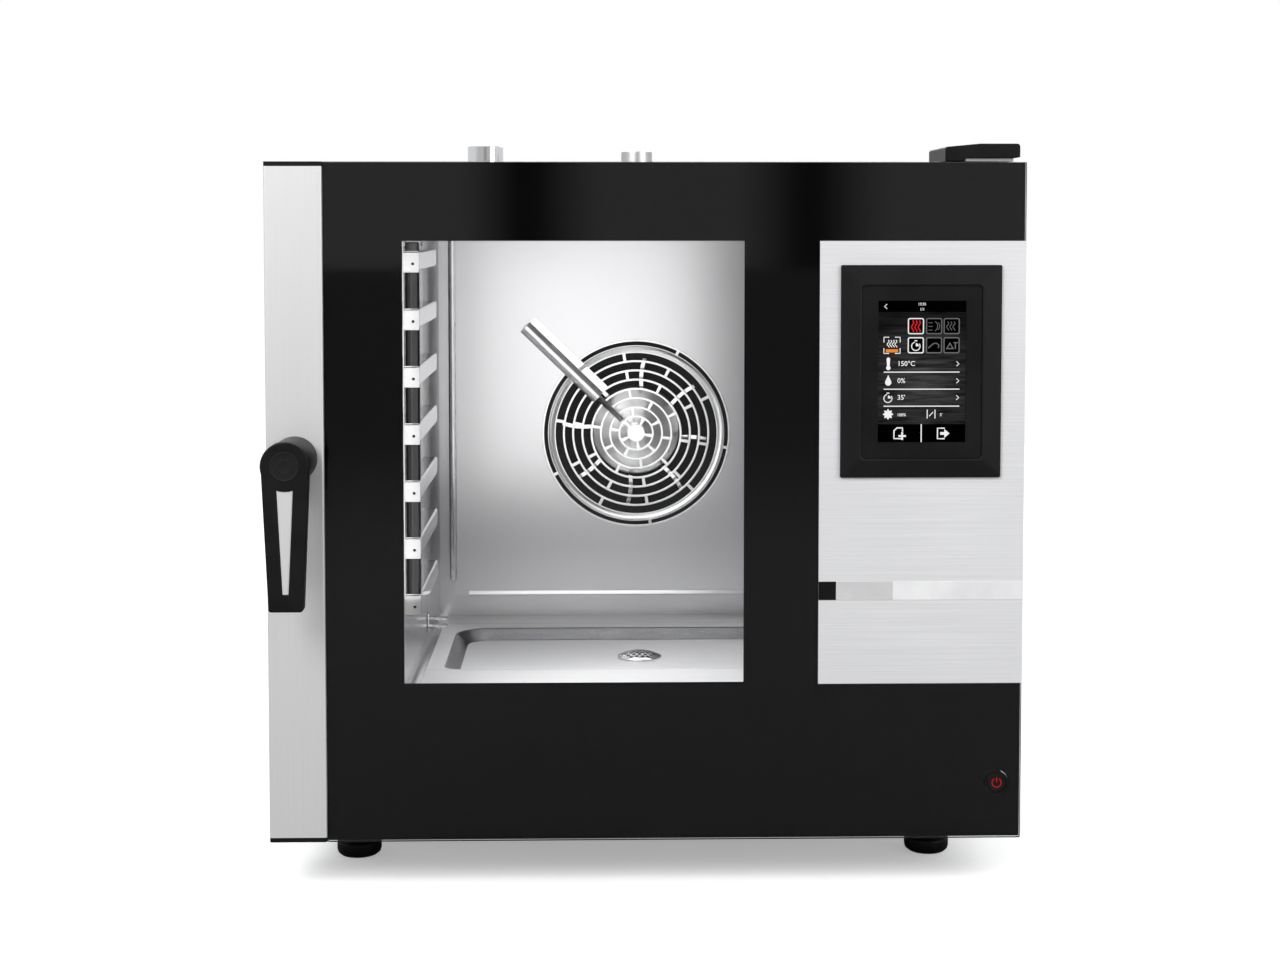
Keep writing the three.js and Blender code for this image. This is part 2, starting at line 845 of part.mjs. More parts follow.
function printMask() {
  const outer = { left: glassLeft, right: doorHalf - 0.5, bottom: doorBottom + 0.5, top: doorTop - 0.5 };
  const view = { left: windowLeft, right: windowRight, bottom: windowBottom, top: windowTop };
  const sheetPlate = frameXZ(outer, view, glassThick + gap, glassThick + 1.1, 2, 0.5);
  return cut(sheetPlate, rodY(13, glassThick, glassThick + 2, buttonX, buttonZ));
}

function doorShell() {
  const front = glassThick + 1.4;
  const wall = 1.5;
  const outer = box(glassLeft, doorHalf, front, doorDepth, doorBottom + gap, doorTop - gap);
  const hollow = box(
    glassLeft + wall,
    doorHalf - wall,
    front - 1,
    doorDepth - wall,
    doorBottom + gap + wall,
    doorTop - gap - wall,
  );
  const opening = roundedRect(
    innerWindow.left,
    innerWindow.right,
    innerWindow.bottom,
    innerWindow.top,
    6,
  );
  return cut(
    outer,
    hollow,
    plateXZ(opening, doorDepth - 4, doorDepth + 1),
    rodZ(9.3, doorTop - 4, doorTop + 1, hingeX, hingeY),
    rodZ(9.3, doorBottom - 1, doorBottom + 4, hingeX, hingeY),
  );
}

function windowSurround() {
  const front = glassThick + 1.4;
  return frameXZ(grow(innerWindow, 6), grow(innerWindow, 3), front, doorDepth - 6.9, 8, 6);
}

function innerGlass() {
  const area = grow(innerWindow, 6);
  const shape = roundedRect(area.left, area.right, area.bottom, area.top, 6);
  return plateXZ(shape, doorDepth - 6.5, doorDepth - 1.8, 3);
}

function doorLamp() {
  return box(-279.5, -270.5, 14, 26, 240, 690);
}

function doorColumn() {
  const shape = roundedRect(-doorHalf, columnRight, 0, doorDepth, 2.5);
  shape.holes.push(roundedRect(-doorHalf + 2, columnRight - 2, 2, doorDepth - 2, 1.5, THREE.Path));
  const length = doorTop - doorBottom - 10;
  const profile = extruded(shape, length, 3).translate(0, 0, doorBottom + 5);
  return cut(profile, rodY(9, -1, doorDepth + 1, handleX, handleZ));
}

function columnCap(upper) {
  const low = upper ? doorTop - 5 + gap : doorBottom;
  const shape = roundedRect(-doorHalf, columnRight, 0, doorDepth, 3);
  return extruded(shape, 5 - gap, 3).translate(0, 0, low);
}

function controlFascia() {
  return box(fascia.left, fascia.right, -1.1, -gap, fascia.bottom, fascia.top);
}

function cornersOf(area) {
  return [
    new THREE.Vector2(area.left, area.bottom),
    new THREE.Vector2(area.right, area.bottom),
    new THREE.Vector2(area.right, area.top),
    new THREE.Vector2(area.left, area.top),
  ];
}

function displayBezel() {
  const rise = 7;
  // The loft rises along +Z and is then laid over, so that it rises towards the front.
  const block = loft(cornersOf(bezel), 0, cornersOf(grow(bezel, -4)), rise);
  const body = block.rotateX(Math.PI / 2).translate(0, -1.4, 0);
  const pocket = grow(screenOpening, 17);
  return cut(
    body,
    box(screenOpening.left, screenOpening.right, -10, 0, screenOpening.bottom, screenOpening.top),
    box(pocket.left, pocket.right, -4.5, 0, pocket.bottom, pocket.top),
  );
}

function displayScreen() {
  const area = grow(screenOpening, 16.5);
  return box(area.left, area.right, -4.2, -1.6, area.bottom, area.top);
}

function displayBoard() {
  const board = box(225, 375, 12, 14, 470, 662);
  return join(board, box(240, 300, 13.5, 24, 500, 640), box(315, 362, 13.5, 30, 560, 640));
}

function powerSwitch() {
  const collar = extruded(circleShape(12.7, 11), 13, 12).rotateX(Math.PI / 2).translate(0, 12.2, 0);
  const block = box(-12, 12, 14.6, 34, -12, 12);
  const bridge = cut(box(-12, 12, 11.5, 15, -12, 12), rodY(11, 11, 14.6));
  return join(collar, bridge, block);
}

function powerButton() {
  return rodY(10.6, -0.5, 12.8, 0, 0, 28);
}

// ---- handle ----
function leverOutline() {
  const hubRadius = 25.6;
  const shape = new THREE.Shape();
  const corner = 3;
  const lowHalf = 18;
  const shoulder = 0.3;
  shape.absarc(0, 0, hubRadius, -shoulder, Math.PI + shoulder, false);
  shape.lineTo(-lowHalf, -leverLength + corner);
  shape.absarc(-lowHalf + corner, -leverLength + corner, corner, Math.PI, 1.5 * Math.PI, false);
  shape.absarc(lowHalf - corner, -leverLength + corner, corner, 1.5 * Math.PI, 2 * Math.PI, false);
  return shape;
}

function inlayOutline(shrink) {
  const shape = new THREE.Shape();
  const topRadius = 26.2 + shrink;
  const half = 0.34 - shrink / topRadius;
  const down = -Math.PI / 2;
  shape.absarc(0, 0, topRadius, down - half, down + half, false);
  shape.lineTo(3.45 - shrink, -134.7 + shrink);
  shape.lineTo(-3.45 + shrink, -134.7 + shrink);
  return shape;
}

function handleLever() {
  const lever = plateXZ(leverOutline(), -handleReach, -handleReach + 18, 12);
  return cut(lever, plateXZ(inlayOutline(0), -handleReach - 1, -handleReach + 5));
}

function handleInlay() {
  return plateXZ(inlayOutline(0.3), -handleReach + 2, -handleReach + 4.7);
}

function handlePost() {
  const section = circleShape(24.4, 6.5);
  const length = handleReach - 18 - 2 * gap;
  return extruded(section, length, 14).rotateX(Math.PI / 2).translate(0, -gap, 0);
}

function latchCam() {
  const finger = outline([
    [-6, 0],
    [-6, -15],
    [6, -15],
    [6, 0],
  ]);
  const tip = plateXZ(new THREE.Shape(finger.getPoints().reverse()), 88, 96);
  return join(rodY(8, doorDepth + 2.2, 96, 0, 0, 20), tip);
}

// ---- assembly ----
const part = new THREE.Group();
const oven = new THREE.Group();
oven.position.set(0, doorFrontY, 0);
part.add(oven);

function place(group, name, geometry, material) {
  const mesh = new THREE.Mesh(geometry, material);
  mesh.name = name;
  group.add(mesh);
  return mesh;
}

function groupAt(parent, x, y, z) {
  const group = new THREE.Group();
  group.position.set(x, y, z);
  parent.add(group);
  return group;
}

place(oven, "base_frame", baseFrame(), galvanised);
place(oven, "side_panel_left", sidePanel(-1), brushed);
place(oven, "side_panel_right", sidePanel(1), brushed);
place(oven, "top_panel", topPanel(), brushed);
place(oven, "rear_panel", rearPanel(), galvanised);
place(oven, "front_frame", frontFrame(), steel);
place(oven, "chamber_liner", chamberLiner(), steel);
place(oven, "insulation_blanket", insulationBlanket(), wool);
place(oven, "door_gasket", doorGasket(), silicone);
place(oven, "fan_baffle", fanBaffle(), steel);

const fanAxis = groupAt(oven, 0, 0, fanZ);
const guardSeat = groupAt(fanAxis, 0, baffleY, 0);
const wheelSeat = groupAt(fanAxis, 0, 590, 0);
place(guardSeat, "fan_guard", fanGuard(), steel);
place(wheelSeat, "fan_wheel", fanWheel(), galvanised);
place(fanAxis, "motor_shaft", motorShaft(), steel);
place(fanAxis, "fan_motor", fanMotor(), castMotor);
place(fanAxis, "heating_element", heatingElement(), galvanised);

const channelSeat = groupAt(oven, valve.x - 4, baffleY - 0.4, valve.tubeZ + 4);
channelSeat.rotation.set(Math.PI / 2, 0, 0);
const channelTurn = groupAt(channelSeat, 0, 0, 0);
channelTurn.rotation.set(0, 0, -channelTilt);
place(channelTurn, "injection_channel", injectionChannel(), steel);
place(oven, "injection_tube", injectionTube(), steel);
place(oven, "inlet_valve", inletValve(), brass);

place(oven, "rack_left", rack(-1), steel);
place(oven, "rack_right", rack(1), steel);
place(oven, "rack_stud_left", rackStud(-1), steel);
place(oven, "rack_stud_right", rackStud(1), steel);
place(oven, "drain_strainer", drainStrainer(), steel);
place(oven, "drain_pipe", drainPipe(), galvanised);

place(oven, "vent_pipe", ventPipe(), steel);
place(groupAt(oven, ventX, ventY, damperZ), "vent_damper", ventDamper(), steel);
place(oven, "damper_motor", damperMotor(), blackPlastic);
place(oven, "relief_pipe", reliefPipe(), steel);

place(oven, "hinge_bracket_upper", hingeBracket(true), galvanised);
place(oven, "hinge_bracket_lower", hingeBracket(false), galvanised);
place(oven, "hinge_cover", hingeCover(), blackPlastic);

for (const [name, x, y] of [
  ["foot_front_left", -footX, footFrontY],
  ["foot_front_right", footX, footFrontY],
  ["foot_rear_left", -footX, footRearY],
  ["foot_rear_right", footX, footRearY],
]) {
  place(groupAt(oven, x, y, 0), name, foot(), blackPlastic);
}
place(groupAt(oven, gland.x, bodyRear - 2, gland.z), "cable_gland", cableGland(), blackPlastic);
place(oven, "latch_keeper", latchKeeper(), steel);
place(oven, "power_board", powerBoard(), boardGreen);

place(oven, "door_glass", doorGlass(), clearGlass);
place(oven, "door_print_mask", printMask(), blackEnamel);
place(oven, "door_shell", doorShell(), steel);
place(oven, "window_surround", windowSurround(), blackPlastic);
place(oven, "door_inner_glass", innerGlass(), clearGlass);
place(oven, "door_lamp", doorLamp(), lampWhite);
place(oven, "door_column", doorColumn(), brushed);
place(oven, "column_cap_upper", columnCap(true), blackPlastic);
place(oven, "column_cap_lower", columnCap(false), blackPlastic);
place(oven, "control_fascia", controlFascia(), brushed);
place(oven, "display_bezel", displayBezel(), blackPlastic);
place(oven, "display_screen", displayScreen(), blackEnamel);
place(oven, "display_board", displayBoard(), boardGreen);
place(oven, "hinge_bush_upper", hingeBush(true), brass);
place(oven, "hinge_bush_lower", hingeBush(false), brass);

const buttonSeat = groupAt(oven, buttonX, 0, buttonZ);
place(buttonSeat, "power_switch", powerSwitch(), blackPlastic);
place(buttonSeat, "power_button", powerButton(), blackPlastic);

const handleAxis = groupAt(oven, handleX, 0, handleZ);
place(handleAxis, "handle_post", handlePost(), blackPlastic);
place(handleAxis, "handle_lever", handleLever(), blackPlastic);
place(handleAxis, "handle_inlay", handleInlay(), brushed);
place(handleAxis, "handle_shaft", rodY(6, -handleReach + 18 + gap, doorDepth + 1.9), steel);
place(handleAxis, "latch_cam", latchCam(), steel);

export default part;
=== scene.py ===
import math
import bpy
import bmesh
from mathutils import Matrix, Vector


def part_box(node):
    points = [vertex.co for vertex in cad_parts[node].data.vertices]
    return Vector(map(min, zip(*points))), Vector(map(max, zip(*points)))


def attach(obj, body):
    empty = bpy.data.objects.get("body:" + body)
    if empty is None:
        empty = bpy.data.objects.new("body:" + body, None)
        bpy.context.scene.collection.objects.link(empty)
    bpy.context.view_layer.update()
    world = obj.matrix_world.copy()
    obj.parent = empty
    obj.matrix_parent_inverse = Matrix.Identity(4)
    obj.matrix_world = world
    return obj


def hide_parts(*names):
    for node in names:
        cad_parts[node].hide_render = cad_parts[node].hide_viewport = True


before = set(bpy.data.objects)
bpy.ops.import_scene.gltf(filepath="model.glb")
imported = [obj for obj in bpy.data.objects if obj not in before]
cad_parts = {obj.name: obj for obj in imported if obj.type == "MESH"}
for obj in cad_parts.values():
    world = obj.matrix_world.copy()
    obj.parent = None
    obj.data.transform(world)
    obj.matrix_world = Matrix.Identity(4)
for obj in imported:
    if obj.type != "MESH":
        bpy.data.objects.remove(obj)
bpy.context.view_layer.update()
mm = 0.001
print("frame loaded:", len(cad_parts), "nodes")


def middleOf(node):
    low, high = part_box(node)
    return (low + high) / 2


def newMaterial(name):
    material = bpy.data.materials.new(name)
    material.use_nodes = True
    material.node_tree.nodes.clear()
    return material, material.node_tree


def addNode(tree, kind, inputs=None, **traits):
    # an input takes a value, or the output socket that feeds it
    node = tree.nodes.new("ShaderNode" + kind)
    for key, value in traits.items():
        setattr(node, key, value)
    for key, value in (inputs or {}).items():
        if isinstance(value, bpy.types.NodeSocket):
            tree.links.new(value, node.inputs[key])
        else:
            node.inputs[key].default_value = value
    return node


def finishWith(material, tree, shader):
    addNode(tree, "OutputMaterial", {"Surface": shader.outputs[0]})
    return material


def ovenPoints(tree, scale=(1, 1, 1)):
    # object coordinates are the oven's own, in metres
    points = addNode(tree, "TexCoord").outputs["Object"]
    return addNode(tree, "Mapping", {"Vector": points, "Scale": scale}).outputs["Vector"]


def ramp(tree, factor, stops):
    node = addNode(tree, "ValToRGB", {"Fac": factor})
    elements = node.color_ramp.elements
    elements[0].position, elements[1].position = stops[0][0], stops[-1][0]
    elements[0].color, elements[1].color = (*stops[0][1], 1), (*stops[-1][1], 1)
    for position, color in stops[1:-1]:
        elements.new(position).color = (*color, 1)
    return node.outputs["Color"]


def spread(tree, factor, low, high, start=0.0, end=1.0):
    # carries the stretch from start to end over to the stretch from low to high
    settings = {"Value": factor, "From Min": start, "From Max": end, "To Min": low, "To Max": high}
    return addNode(tree, "MapRange", settings).outputs["Result"]


def bumpFrom(tree, height, strength, distance=0.0002):
    settings = {"Height": height, "Strength": strength, "Distance": distance}
    return addNode(tree, "Bump", settings).outputs["Normal"]


def noiseOn(tree, vector, scale, detail=3.0, roughness=0.5):
    settings = {"Vector": vector, "Scale": scale, "Detail": detail, "Roughness": roughness}
    return addNode(tree, "TexNoise", settings).outputs["Fac"]


def distanceFrom(tree, x, z):
    # how far a spot stands from (x, z), seen from the front
    points = addNode(tree, "TexCoord").outputs["Object"]
    apart = addNode(tree, "VectorMath", {0: points, 1: (x, 0, z)}, operation="SUBTRACT").outputs[0]
    flat = addNode(tree, "VectorMath", {0: apart, 1: (1, 0, 1)}, operation="MULTIPLY").outputs[0]
    return addNode(tree, "VectorMath", {0: flat}, operation="LENGTH").outputs["Value"]


def blended(tree, factor, first, second):
    return addNode(tree, "MixShader", {0: factor, 1: first.outputs[0], 2: second.outputs[0]})


def brushedMetal(name, low, high, roughness, grain, brush=(6, 900, 900), bump=0.05, metal=1.0):
    # fine parallel lines left by the belt, on a slow cloudy tone
    material, tree = newMaterial(name)
    lines = noiseOn(tree, ovenPoints(tree, brush), 1.0, 4.0, 0.6)
    clouds = noiseOn(tree, ovenPoints(tree), 5.0, 2.0)
    share = addNode(tree, "Math", {0: clouds, 1: 0.25}, operation="MULTIPLY").outputs[0]
    mixed = addNode(tree, "Math", {0: lines, 1: 0.75, 2: share}, operation="MULTIPLY_ADD").outputs[0]
    return finishWith(material, tree, addNode(tree, "BsdfPrincipled", {
        "Metallic": metal,
        "Base Color": ramp(tree, mixed, [(0.25, low), (0.75, high)]),
        "Roughness": spread(tree, mixed, roughness - grain, roughness + grain),
        "Normal": bumpFrom(tree, lines, bump)}))


def mouldedPlastic(name, low, high, roughness=0.5, grain=900):
    material, tree = newMaterial(name)
    pores = noiseOn(tree, ovenPoints(tree), grain, 2.0)
    wear = noiseOn(tree, ovenPoints(tree), 22.0, 3.0)
    return finishWith(material, tree, addNode(tree, "BsdfPrincipled", {
        "Specular IOR Level": 0.15,
        "Base Color": ramp(tree, wear, [(0.35, low), (0.7, high)]),
        "Roughness": spread(tree, wear, roughness - 0.06, roughness + 0.08),
        "Normal": bumpFrom(tree, pores, 0.12)}))


def enamelPrint(name):
    # screen-printed black on the back of the glass
    material, tree = newMaterial(name)
    cloud = noiseOn(tree, ovenPoints(tree), 3.0, 2.0)
    return finishWith(material, tree, addNode(tree, "BsdfPrincipled", {
        "Specular IOR Level": 0.0,
        "Base Color": ramp(tree, cloud, [(0.3, (0.0014, 0.0014, 0.0015)), (0.7, (0.002, 0.002, 0.0021))]),
        "Roughness": spread(tree, cloud, 0.4, 0.5)}))


def clearGlass(name, gloss):
    # sees straight through, with a thin mirror on top that grows at a slant
    material, tree = newMaterial(name)
    film = noiseOn(tree, ovenPoints(tree), 9.0, 4.0)
    through = addNode(tree, "BsdfTransparent", {"Color": (0.985, 0.985, 0.985, 1)})
    dullness = spread(tree, film, 0.02, 0.05)
    mirror = addNode(tree, "BsdfGlossy", {"Color": (1, 1, 1, 1), "Roughness": dullness})
    slant = addNode(tree, "Fresnel", {"IOR": gloss}).outputs[0]
    return finishWith(material, tree, blended(tree, slant, through, mirror))


def glowing(name, low, high, strength=1.0):
    material, tree = newMaterial(name)
    tone = noiseOn(tree, ovenPoints(tree), 30.0, 2.0)
    color = ramp(tree, tone, [(0.3, low), (0.7, high)])
    return finishWith(material, tree, addNode(tree, "Emission", {"Color": color, "Strength": strength}))


def spangledZinc(name):
    material, tree = newMaterial(name)
    cells = addNode(tree, "TexVoronoi", {"Vector": ovenPoints(tree), "Scale": 170.0})
    grey = addNode(tree, "RGBToBW", {0: cells.outputs["Color"]}).outputs[0]
    return finishWith(material, tree, addNode(tree, "BsdfPrincipled", {
        "Metallic": 1.0,
        "Base Color": ramp(tree, grey, [(0.2, (0.36, 0.37, 0.38)), (0.8, (0.43, 0.44, 0.45))]),
        "Roughness": spread(tree, grey, 0.35, 0.55)}))


def softWool(name):
    material, tree = newMaterial(name)
    tufts = noiseOn(tree, ovenPoints(tree), 120.0, 6.0, 0.7)
    return finishWith(material, tree, addNode(tree, "BsdfPrincipled", {
        "Base Color": ramp(tree, tufts, [(0.3, (0.4, 0.33, 0.2)), (0.7, (0.66, 0.58, 0.4))]),
        "Roughness": 0.95,
        "Normal": bumpFrom(tree, tufts, 0.8, 0.003)}))


def rearSteelWithPaintedShade(name):
    # chamber steel for the rear wall, with painted shade: a dark round patch behind the fan stands for the
    # shade in the fan's housing
    shadePatch = {"inner": 0.145, "outer": 0.19, "dark": (0.05, 0.048, 0.046, 1), "clean": (0.66, 0.66, 0.67, 1)}
    material, tree = newMaterial(name)
    centre = middleOf("motor_shaft")
    away = spread(tree, distanceFrom(tree, centre.x, centre.z), 0.0, 1.0, shadePatch["inner"], shadePatch["outer"])
    # the dark colour inside the patch is painted shade
    tone = addNode(tree, "MixRGB", {0: away, 1: shadePatch["dark"], 2: shadePatch["clean"]}).outputs[0]
    lines = noiseOn(tree, ovenPoints(tree, (900, 900, 9)), 1.0, 3.0)
    return finishWith(material, tree, addNode(tree, "BsdfPrincipled", {
        "Metallic": 1.0, "Base Color": tone, "Roughness": spread(tree, lines, 0.27, 0.33)}))


def screenPicture(name):
    # dark grained slate behind the menu, lighter a little below the middle
    slate = {"below": 0.012, "reach": 0.075, "edgeShare": 0.18}
    material, tree = newMaterial(name)
    middle = middleOf("display_screen")
    grain = noiseOn(tree, ovenPoints(tree, (26, 1, 420)), 1.0, 3.0, 0.6)
    tone = ramp(tree, grain, [(0.3, (0.012, 0.012, 0.012)), (0.75, (0.085, 0.085, 0.085))])
    away = distanceFrom(tree, middle.x, middle.z - slate["below"])
    falloff = spread(tree, away, 1.0, slate["edgeShare"], 0.0, slate["reach"])
    shade = addNode(tree, "MixRGB", {0: 1.0, 1: tone, 2: falloff}, blend_type="MULTIPLY").outputs[0]
    return finishWith(material, tree, addNode(tree, "Emission", {"Color": shade, "Strength": 1.0}))


finishes = {
    "panel": brushedMetal("brushedPanel", (0.4, 0.4, 0.41), (0.5, 0.5, 0.51), 0.36, 0.06, (900, 5, 900)),
    "topPanel": brushedMetal("brushedTop", (0.36, 0.36, 0.37), (0.46, 0.46, 0.47), 0.36, 0.06,
                             (5, 900, 900)),
    "fascia": brushedMetal("brushedFascia", (0.76, 0.76, 0.77), (0.94, 0.94, 0.95), 0.42, 0.08,
                           (5, 900, 700), 0.05, 0.35),
    "column": brushedMetal("columnAluminium", (0.78, 0.77, 0.775), (0.84, 0.83, 0.835), 0.42, 0.04,
                           (900, 900, 4), 0.02, 0.5),
    "chamber": brushedMetal("chamberSteel", (0.62, 0.62, 0.63), (0.7, 0.7, 0.71), 0.27, 0.03,
                            (900, 900, 900), 0.01),
    "baffle": brushedMetal("baffleSteel", (0.67, 0.67, 0.68), (0.74, 0.74, 0.75), 0.3, 0.03,
                           (900, 900, 900), 0.01),
    "chamberFloor": brushedMetal("chamberFloorSteel", (0.72, 0.72, 0.73), (0.8, 0.8, 0.81), 0.42, 0.03,
                                 (5, 900, 900), 0.01, 0.4),
    "tinted": rearSteelWithPaintedShade("rearSteelPaintedShade"),
    # near black: painted shade, for the fan's back disc and the hollow under the drain's dome
    "dark": mouldedPlastic("paintedShadeBlack", (0.006, 0.006, 0.006), (0.012, 0.012, 0.012), 0.45, 300),
    "grille": brushedMetal("grilleSteel", (0.88, 0.88, 0.88), (0.95, 0.95, 0.95), 0.3, 0.04,
                           (300, 300, 300), 0.01),
    "rackSteel": brushedMetal("rackSteel", (0.42, 0.42, 0.43), (0.54, 0.54, 0.55), 0.3, 0.04,
                              (300, 300, 300), 0.01),
    "railSteel": brushedMetal("railSteel", (0.26, 0.26, 0.265), (0.34, 0.34, 0.345), 0.08, 0.02,
                              (300, 300, 300), 0.005),
    # near-black glossy steel for the rack's front posts: painted dark reflection, standing for the dark the
    # rack's rolled front edge mirrors between the rails
    "upright": brushedMetal("uprightSteel", (0.03, 0.03, 0.031), (0.05, 0.05, 0.051), 0.16, 0.03,
                            (300, 300, 300), 0.01),
    "polished": brushedMetal("polishedSteel", (0.74, 0.74, 0.75), (0.84, 0.84, 0.85), 0.1, 0.03,
                             (300, 300, 300), 0.01),
    "satin": brushedMetal("satinSteel", (0.6, 0.6, 0.6), (0.7, 0.7, 0.7), 0.4, 0.05, (600, 600, 8), 0.03),
    "zinc": spangledZinc("zincCoat"),
    "plastic": mouldedPlastic("blackPlastic", (0.006, 0.006, 0.0062), (0.009, 0.009, 0.0094), 0.42),
    "bezelPlastic": mouldedPlastic("bezelPlastic", (0.008, 0.008, 0.0083), (0.01, 0.01, 0.0104), 0.45),
    "rubber": mouldedPlastic("siliconeBlack", (0.02, 0.02, 0.021), (0.03, 0.03, 0.031), 0.7, 400),
    "greyPlastic": mouldedPlastic("greyPlastic", (0.01, 0.01, 0.0103), (0.013, 0.013, 0.0134), 0.5),
    "enamel": enamelPrint("blackEnamel"),
    "glass": clearGlass("outerGlass", 1.34),
    "innerGlass": clearGlass("innerPane", 1.2),
    "wool": softWool("mineralWool"),
    "casting": brushedMetal("motorCasting", (0.2, 0.21, 0.22), (0.3, 0.31, 0.32), 0.5, 0.08,
                            (200, 200, 200), 0.3),
    "element": brushedMetal("elementTube", (0.2, 0.19, 0.18), (0.3, 0.28, 0.26), 0.45, 0.08,
                            (200, 200, 200), 0.1),
    "brass": brushedMetal("valveBrass", (0.6, 0.46, 0.22), (0.72, 0.57, 0.3), 0.3, 0.06,
                          (300, 300, 300), 0.05),
    "board": mouldedPlastic("boardGreen", (0.02, 0.11, 0.05), (0.03, 0.17, 0.08), 0.45, 300),
    "lamp": glowing("lampStrip", (1.0, 0.97, 0.92), (1.0, 0.99, 0.96), 2.0),
}


def printInk(name, value):
    return mouldedPlastic(name, (value, value, value * 1.02), (value * 1.15,) * 3, 0.35, 500)


print("finishes made:", len(finishes))


def finishMesh(name, mesh, material, body, replaces=(), sharp=32):
    mesh.name = name
    piece = bpy.data.objects.new(name, mesh)
    bpy.context.scene.collection.objects.link(piece)
    mesh.materials.append(finishes[material] if isinstance(material, str) else material)
    mesh.shade_smooth()
    mesh.set_sharp_from_angle(angle=math.radians(sharp))
    weighted = piece.modifiers.new("flatFaces", "WEIGHTED_NORMAL")  # keeps broad flat faces flat
    weighted.keep_sharp = True
    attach(piece, body)
    if replaces:
        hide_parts(*replaces)


def cleaned(mesh, near):
    # welds what lies closer than near and turns every face outwards
    build = bmesh.new()
    build.from_mesh(mesh)
    bmesh.ops.remove_doubles(build, verts=build.verts, dist=near)
    bmesh.ops.recalc_face_normals(build, faces=build.faces)
    build.to_mesh(mesh)
    build.free()
    return mesh


def meshFrom(verts, faces):
    mesh = bpy.data.meshes.new("shape")
    mesh.from_pydata([tuple(v) for v in verts], [], faces)
    return cleaned(mesh, 1e-6)


def bakedMesh(curve):
    # the mesh of an outline or of letters
    holder = bpy.data.objects.new(curve.name, curve)
    bpy.context.scene.collection.objects.link(holder)
    graph = bpy.context.evaluated_depsgraph_get()
    mesh = bpy.data.meshes.new_from_object(holder.evaluated_get(graph))
    bpy.data.objects.remove(holder)
    bpy.data.curves.remove(curve)
    mesh.materials.clear()
    return mesh


def joinMeshes(meshes):
    build = bmesh.new()
    for mesh in meshes:
        build.from_mesh(mesh)
        bpy.data.meshes.remove(mesh)
    joined = bpy.data.meshes.new("shape")
    build.to_mesh(joined)
    build.free()
    return joined


def turnedMesh(profile, centre, axis="Z", sides=64, closed=False):
    # profile: (radius, height) pairs in millimetres, turned round the axis through centre (metres)
    verts, faces = [], []
    count = len(profile)
    for i in range(sides):
        angle = 2 * math.pi * i / sides
        for radius, height in profile:
            across = (radius * mm * math.cos(angle), radius * mm * math.sin(angle))
            if axis == "Z":
                spot = Vector((across[0], across[1], height * mm))
            elif axis == "Y":
                spot = Vector((across[0], height * mm, across[1]))
            else:
                spot = Vector((height * mm, across[0], across[1]))
            verts.append(spot + Vector(centre))
    last = count if closed else count - 1
    for i in range(sides):
        for j in range(last):
            a = i * count + j
            b = i * count + (j + 1) % count
            c = ((i + 1) % sides) * count + (j + 1) % count
            d = ((i + 1) % sides) * count + j
            faces.append((a, b, c, d))
    return meshFrom(verts, faces)


def arcPoints(cx, cy, radius, start, end, steps):
    found = []
    for i in range(steps + 1):
        angle = start + (end - start) * i / steps
        found.append((cx + radius * math.cos(angle), cy + radius * math.sin(angle)))
    return found


def circlePoints(cx, cy, radius, steps):
    return arcPoints(cx, cy, radius, 0, 2 * math.pi, steps)[:-1]


def roundRect(x0, x1, y0, y1, radius, steps=6):
    half = math.pi / 2
    corners = [(x1 - radius, y0 + radius, -half), (x1 - radius, y1 - radius, 0),
               (x0 + radius, y1 - radius, half), (x0 + radius, y0 + radius, math.pi)]
    return [p for cx, cy, start in corners for p in arcPoints(cx, cy, radius, start, start + half, steps)]


def plateMesh(loops, thick, edge=0.0, rounds=2):
    # a flat plate: the first loop is its outline and the others are holes, in millimetres
    curve = bpy.data.curves.new("outline", "CURVE")
    curve.dimensions = "2D"
    curve.fill_mode = "BOTH"
    curve.extrude = max(thick * mm / 2 - edge * mm, 1e-6)
    curve.bevel_depth = edge * mm
    curve.bevel_resolution = rounds
    curve.offset = -edge * mm
    for loop in loops:
        spline = curve.splines.new("POLY")
        spline.points.add(len(loop) - 1)
        for point, (x, y) in zip(spline.points, loop):
            point.co = (x * mm, y * mm, 0, 1)
        spline.use_cyclic_u = True
    return cleaned(bakedMesh(curve), 2e-6)


def standUp(mesh, x, y, z):
    # the plate's own x and y become the oven's X and Z, and its middle plane lies at depth y
    mesh.transform(Matrix.Translation((x, y, z)) @ Matrix.Rotation(math.pi / 2, 4, "X"))
    return mesh


def boxMesh(low, high, edge=0.0):
    build = bmesh.new()
    bmesh.ops.create_cube(build, size=1.0)
    size = Vector(high) - Vector(low)
    middle = (Vector(high) + Vector(low)) / 2
    for vert in build.verts:
        vert.co = Vector((vert.co.x * size.x, vert.co.y * size.y, vert.co.z * size.z)) + middle
    if edge > 0:
        bmesh.ops.bevel(build, geom=build.edges[:], offset=edge, segments=2, affect="EDGES", profile=0.5)
    mesh = bpy.data.meshes.new("shape")
    build.to_mesh(mesh)
    build.free()
    return mesh


def prismMesh(loop, start, end):
    # an outline in X and Z, in millimetres, carried along Y from start to end (metres)
    count = len(loop)
    verts = [(x * mm, start, z * mm) for x, z in loop] + [(x * mm, end, z * mm) for x, z in loop]
    faces = [(i, (i + 1) % count, (i + 1) % count + count, i + count) for i in range(count)]
    faces += [tuple(range(count)), tuple(range(2 * count - 1, count - 1, -1))]
    return meshFrom(verts, faces)


def loftMesh(rings, hollow=False):
    # skins over rings that have the same number of points: a hollow frame joins its last ring to
    # its first, and anything else has both ends closed
    count, total = len(rings[0]), len(rings)
    faces = []
    for ring in range(total if hollow else total - 1):
        here, there = ring * count, (ring + 1) % total * count
        for i in range(count):
            j = (i + 1) % count
            faces.append((here + i, here + j, there + j, there + i))
    if not hollow:
        last = (total - 1) * count
        faces += [tuple(range(count)), tuple(last + i for i in reversed(range(count)))]
    return meshFrom([spot for ring in rings for spot in ring], faces)


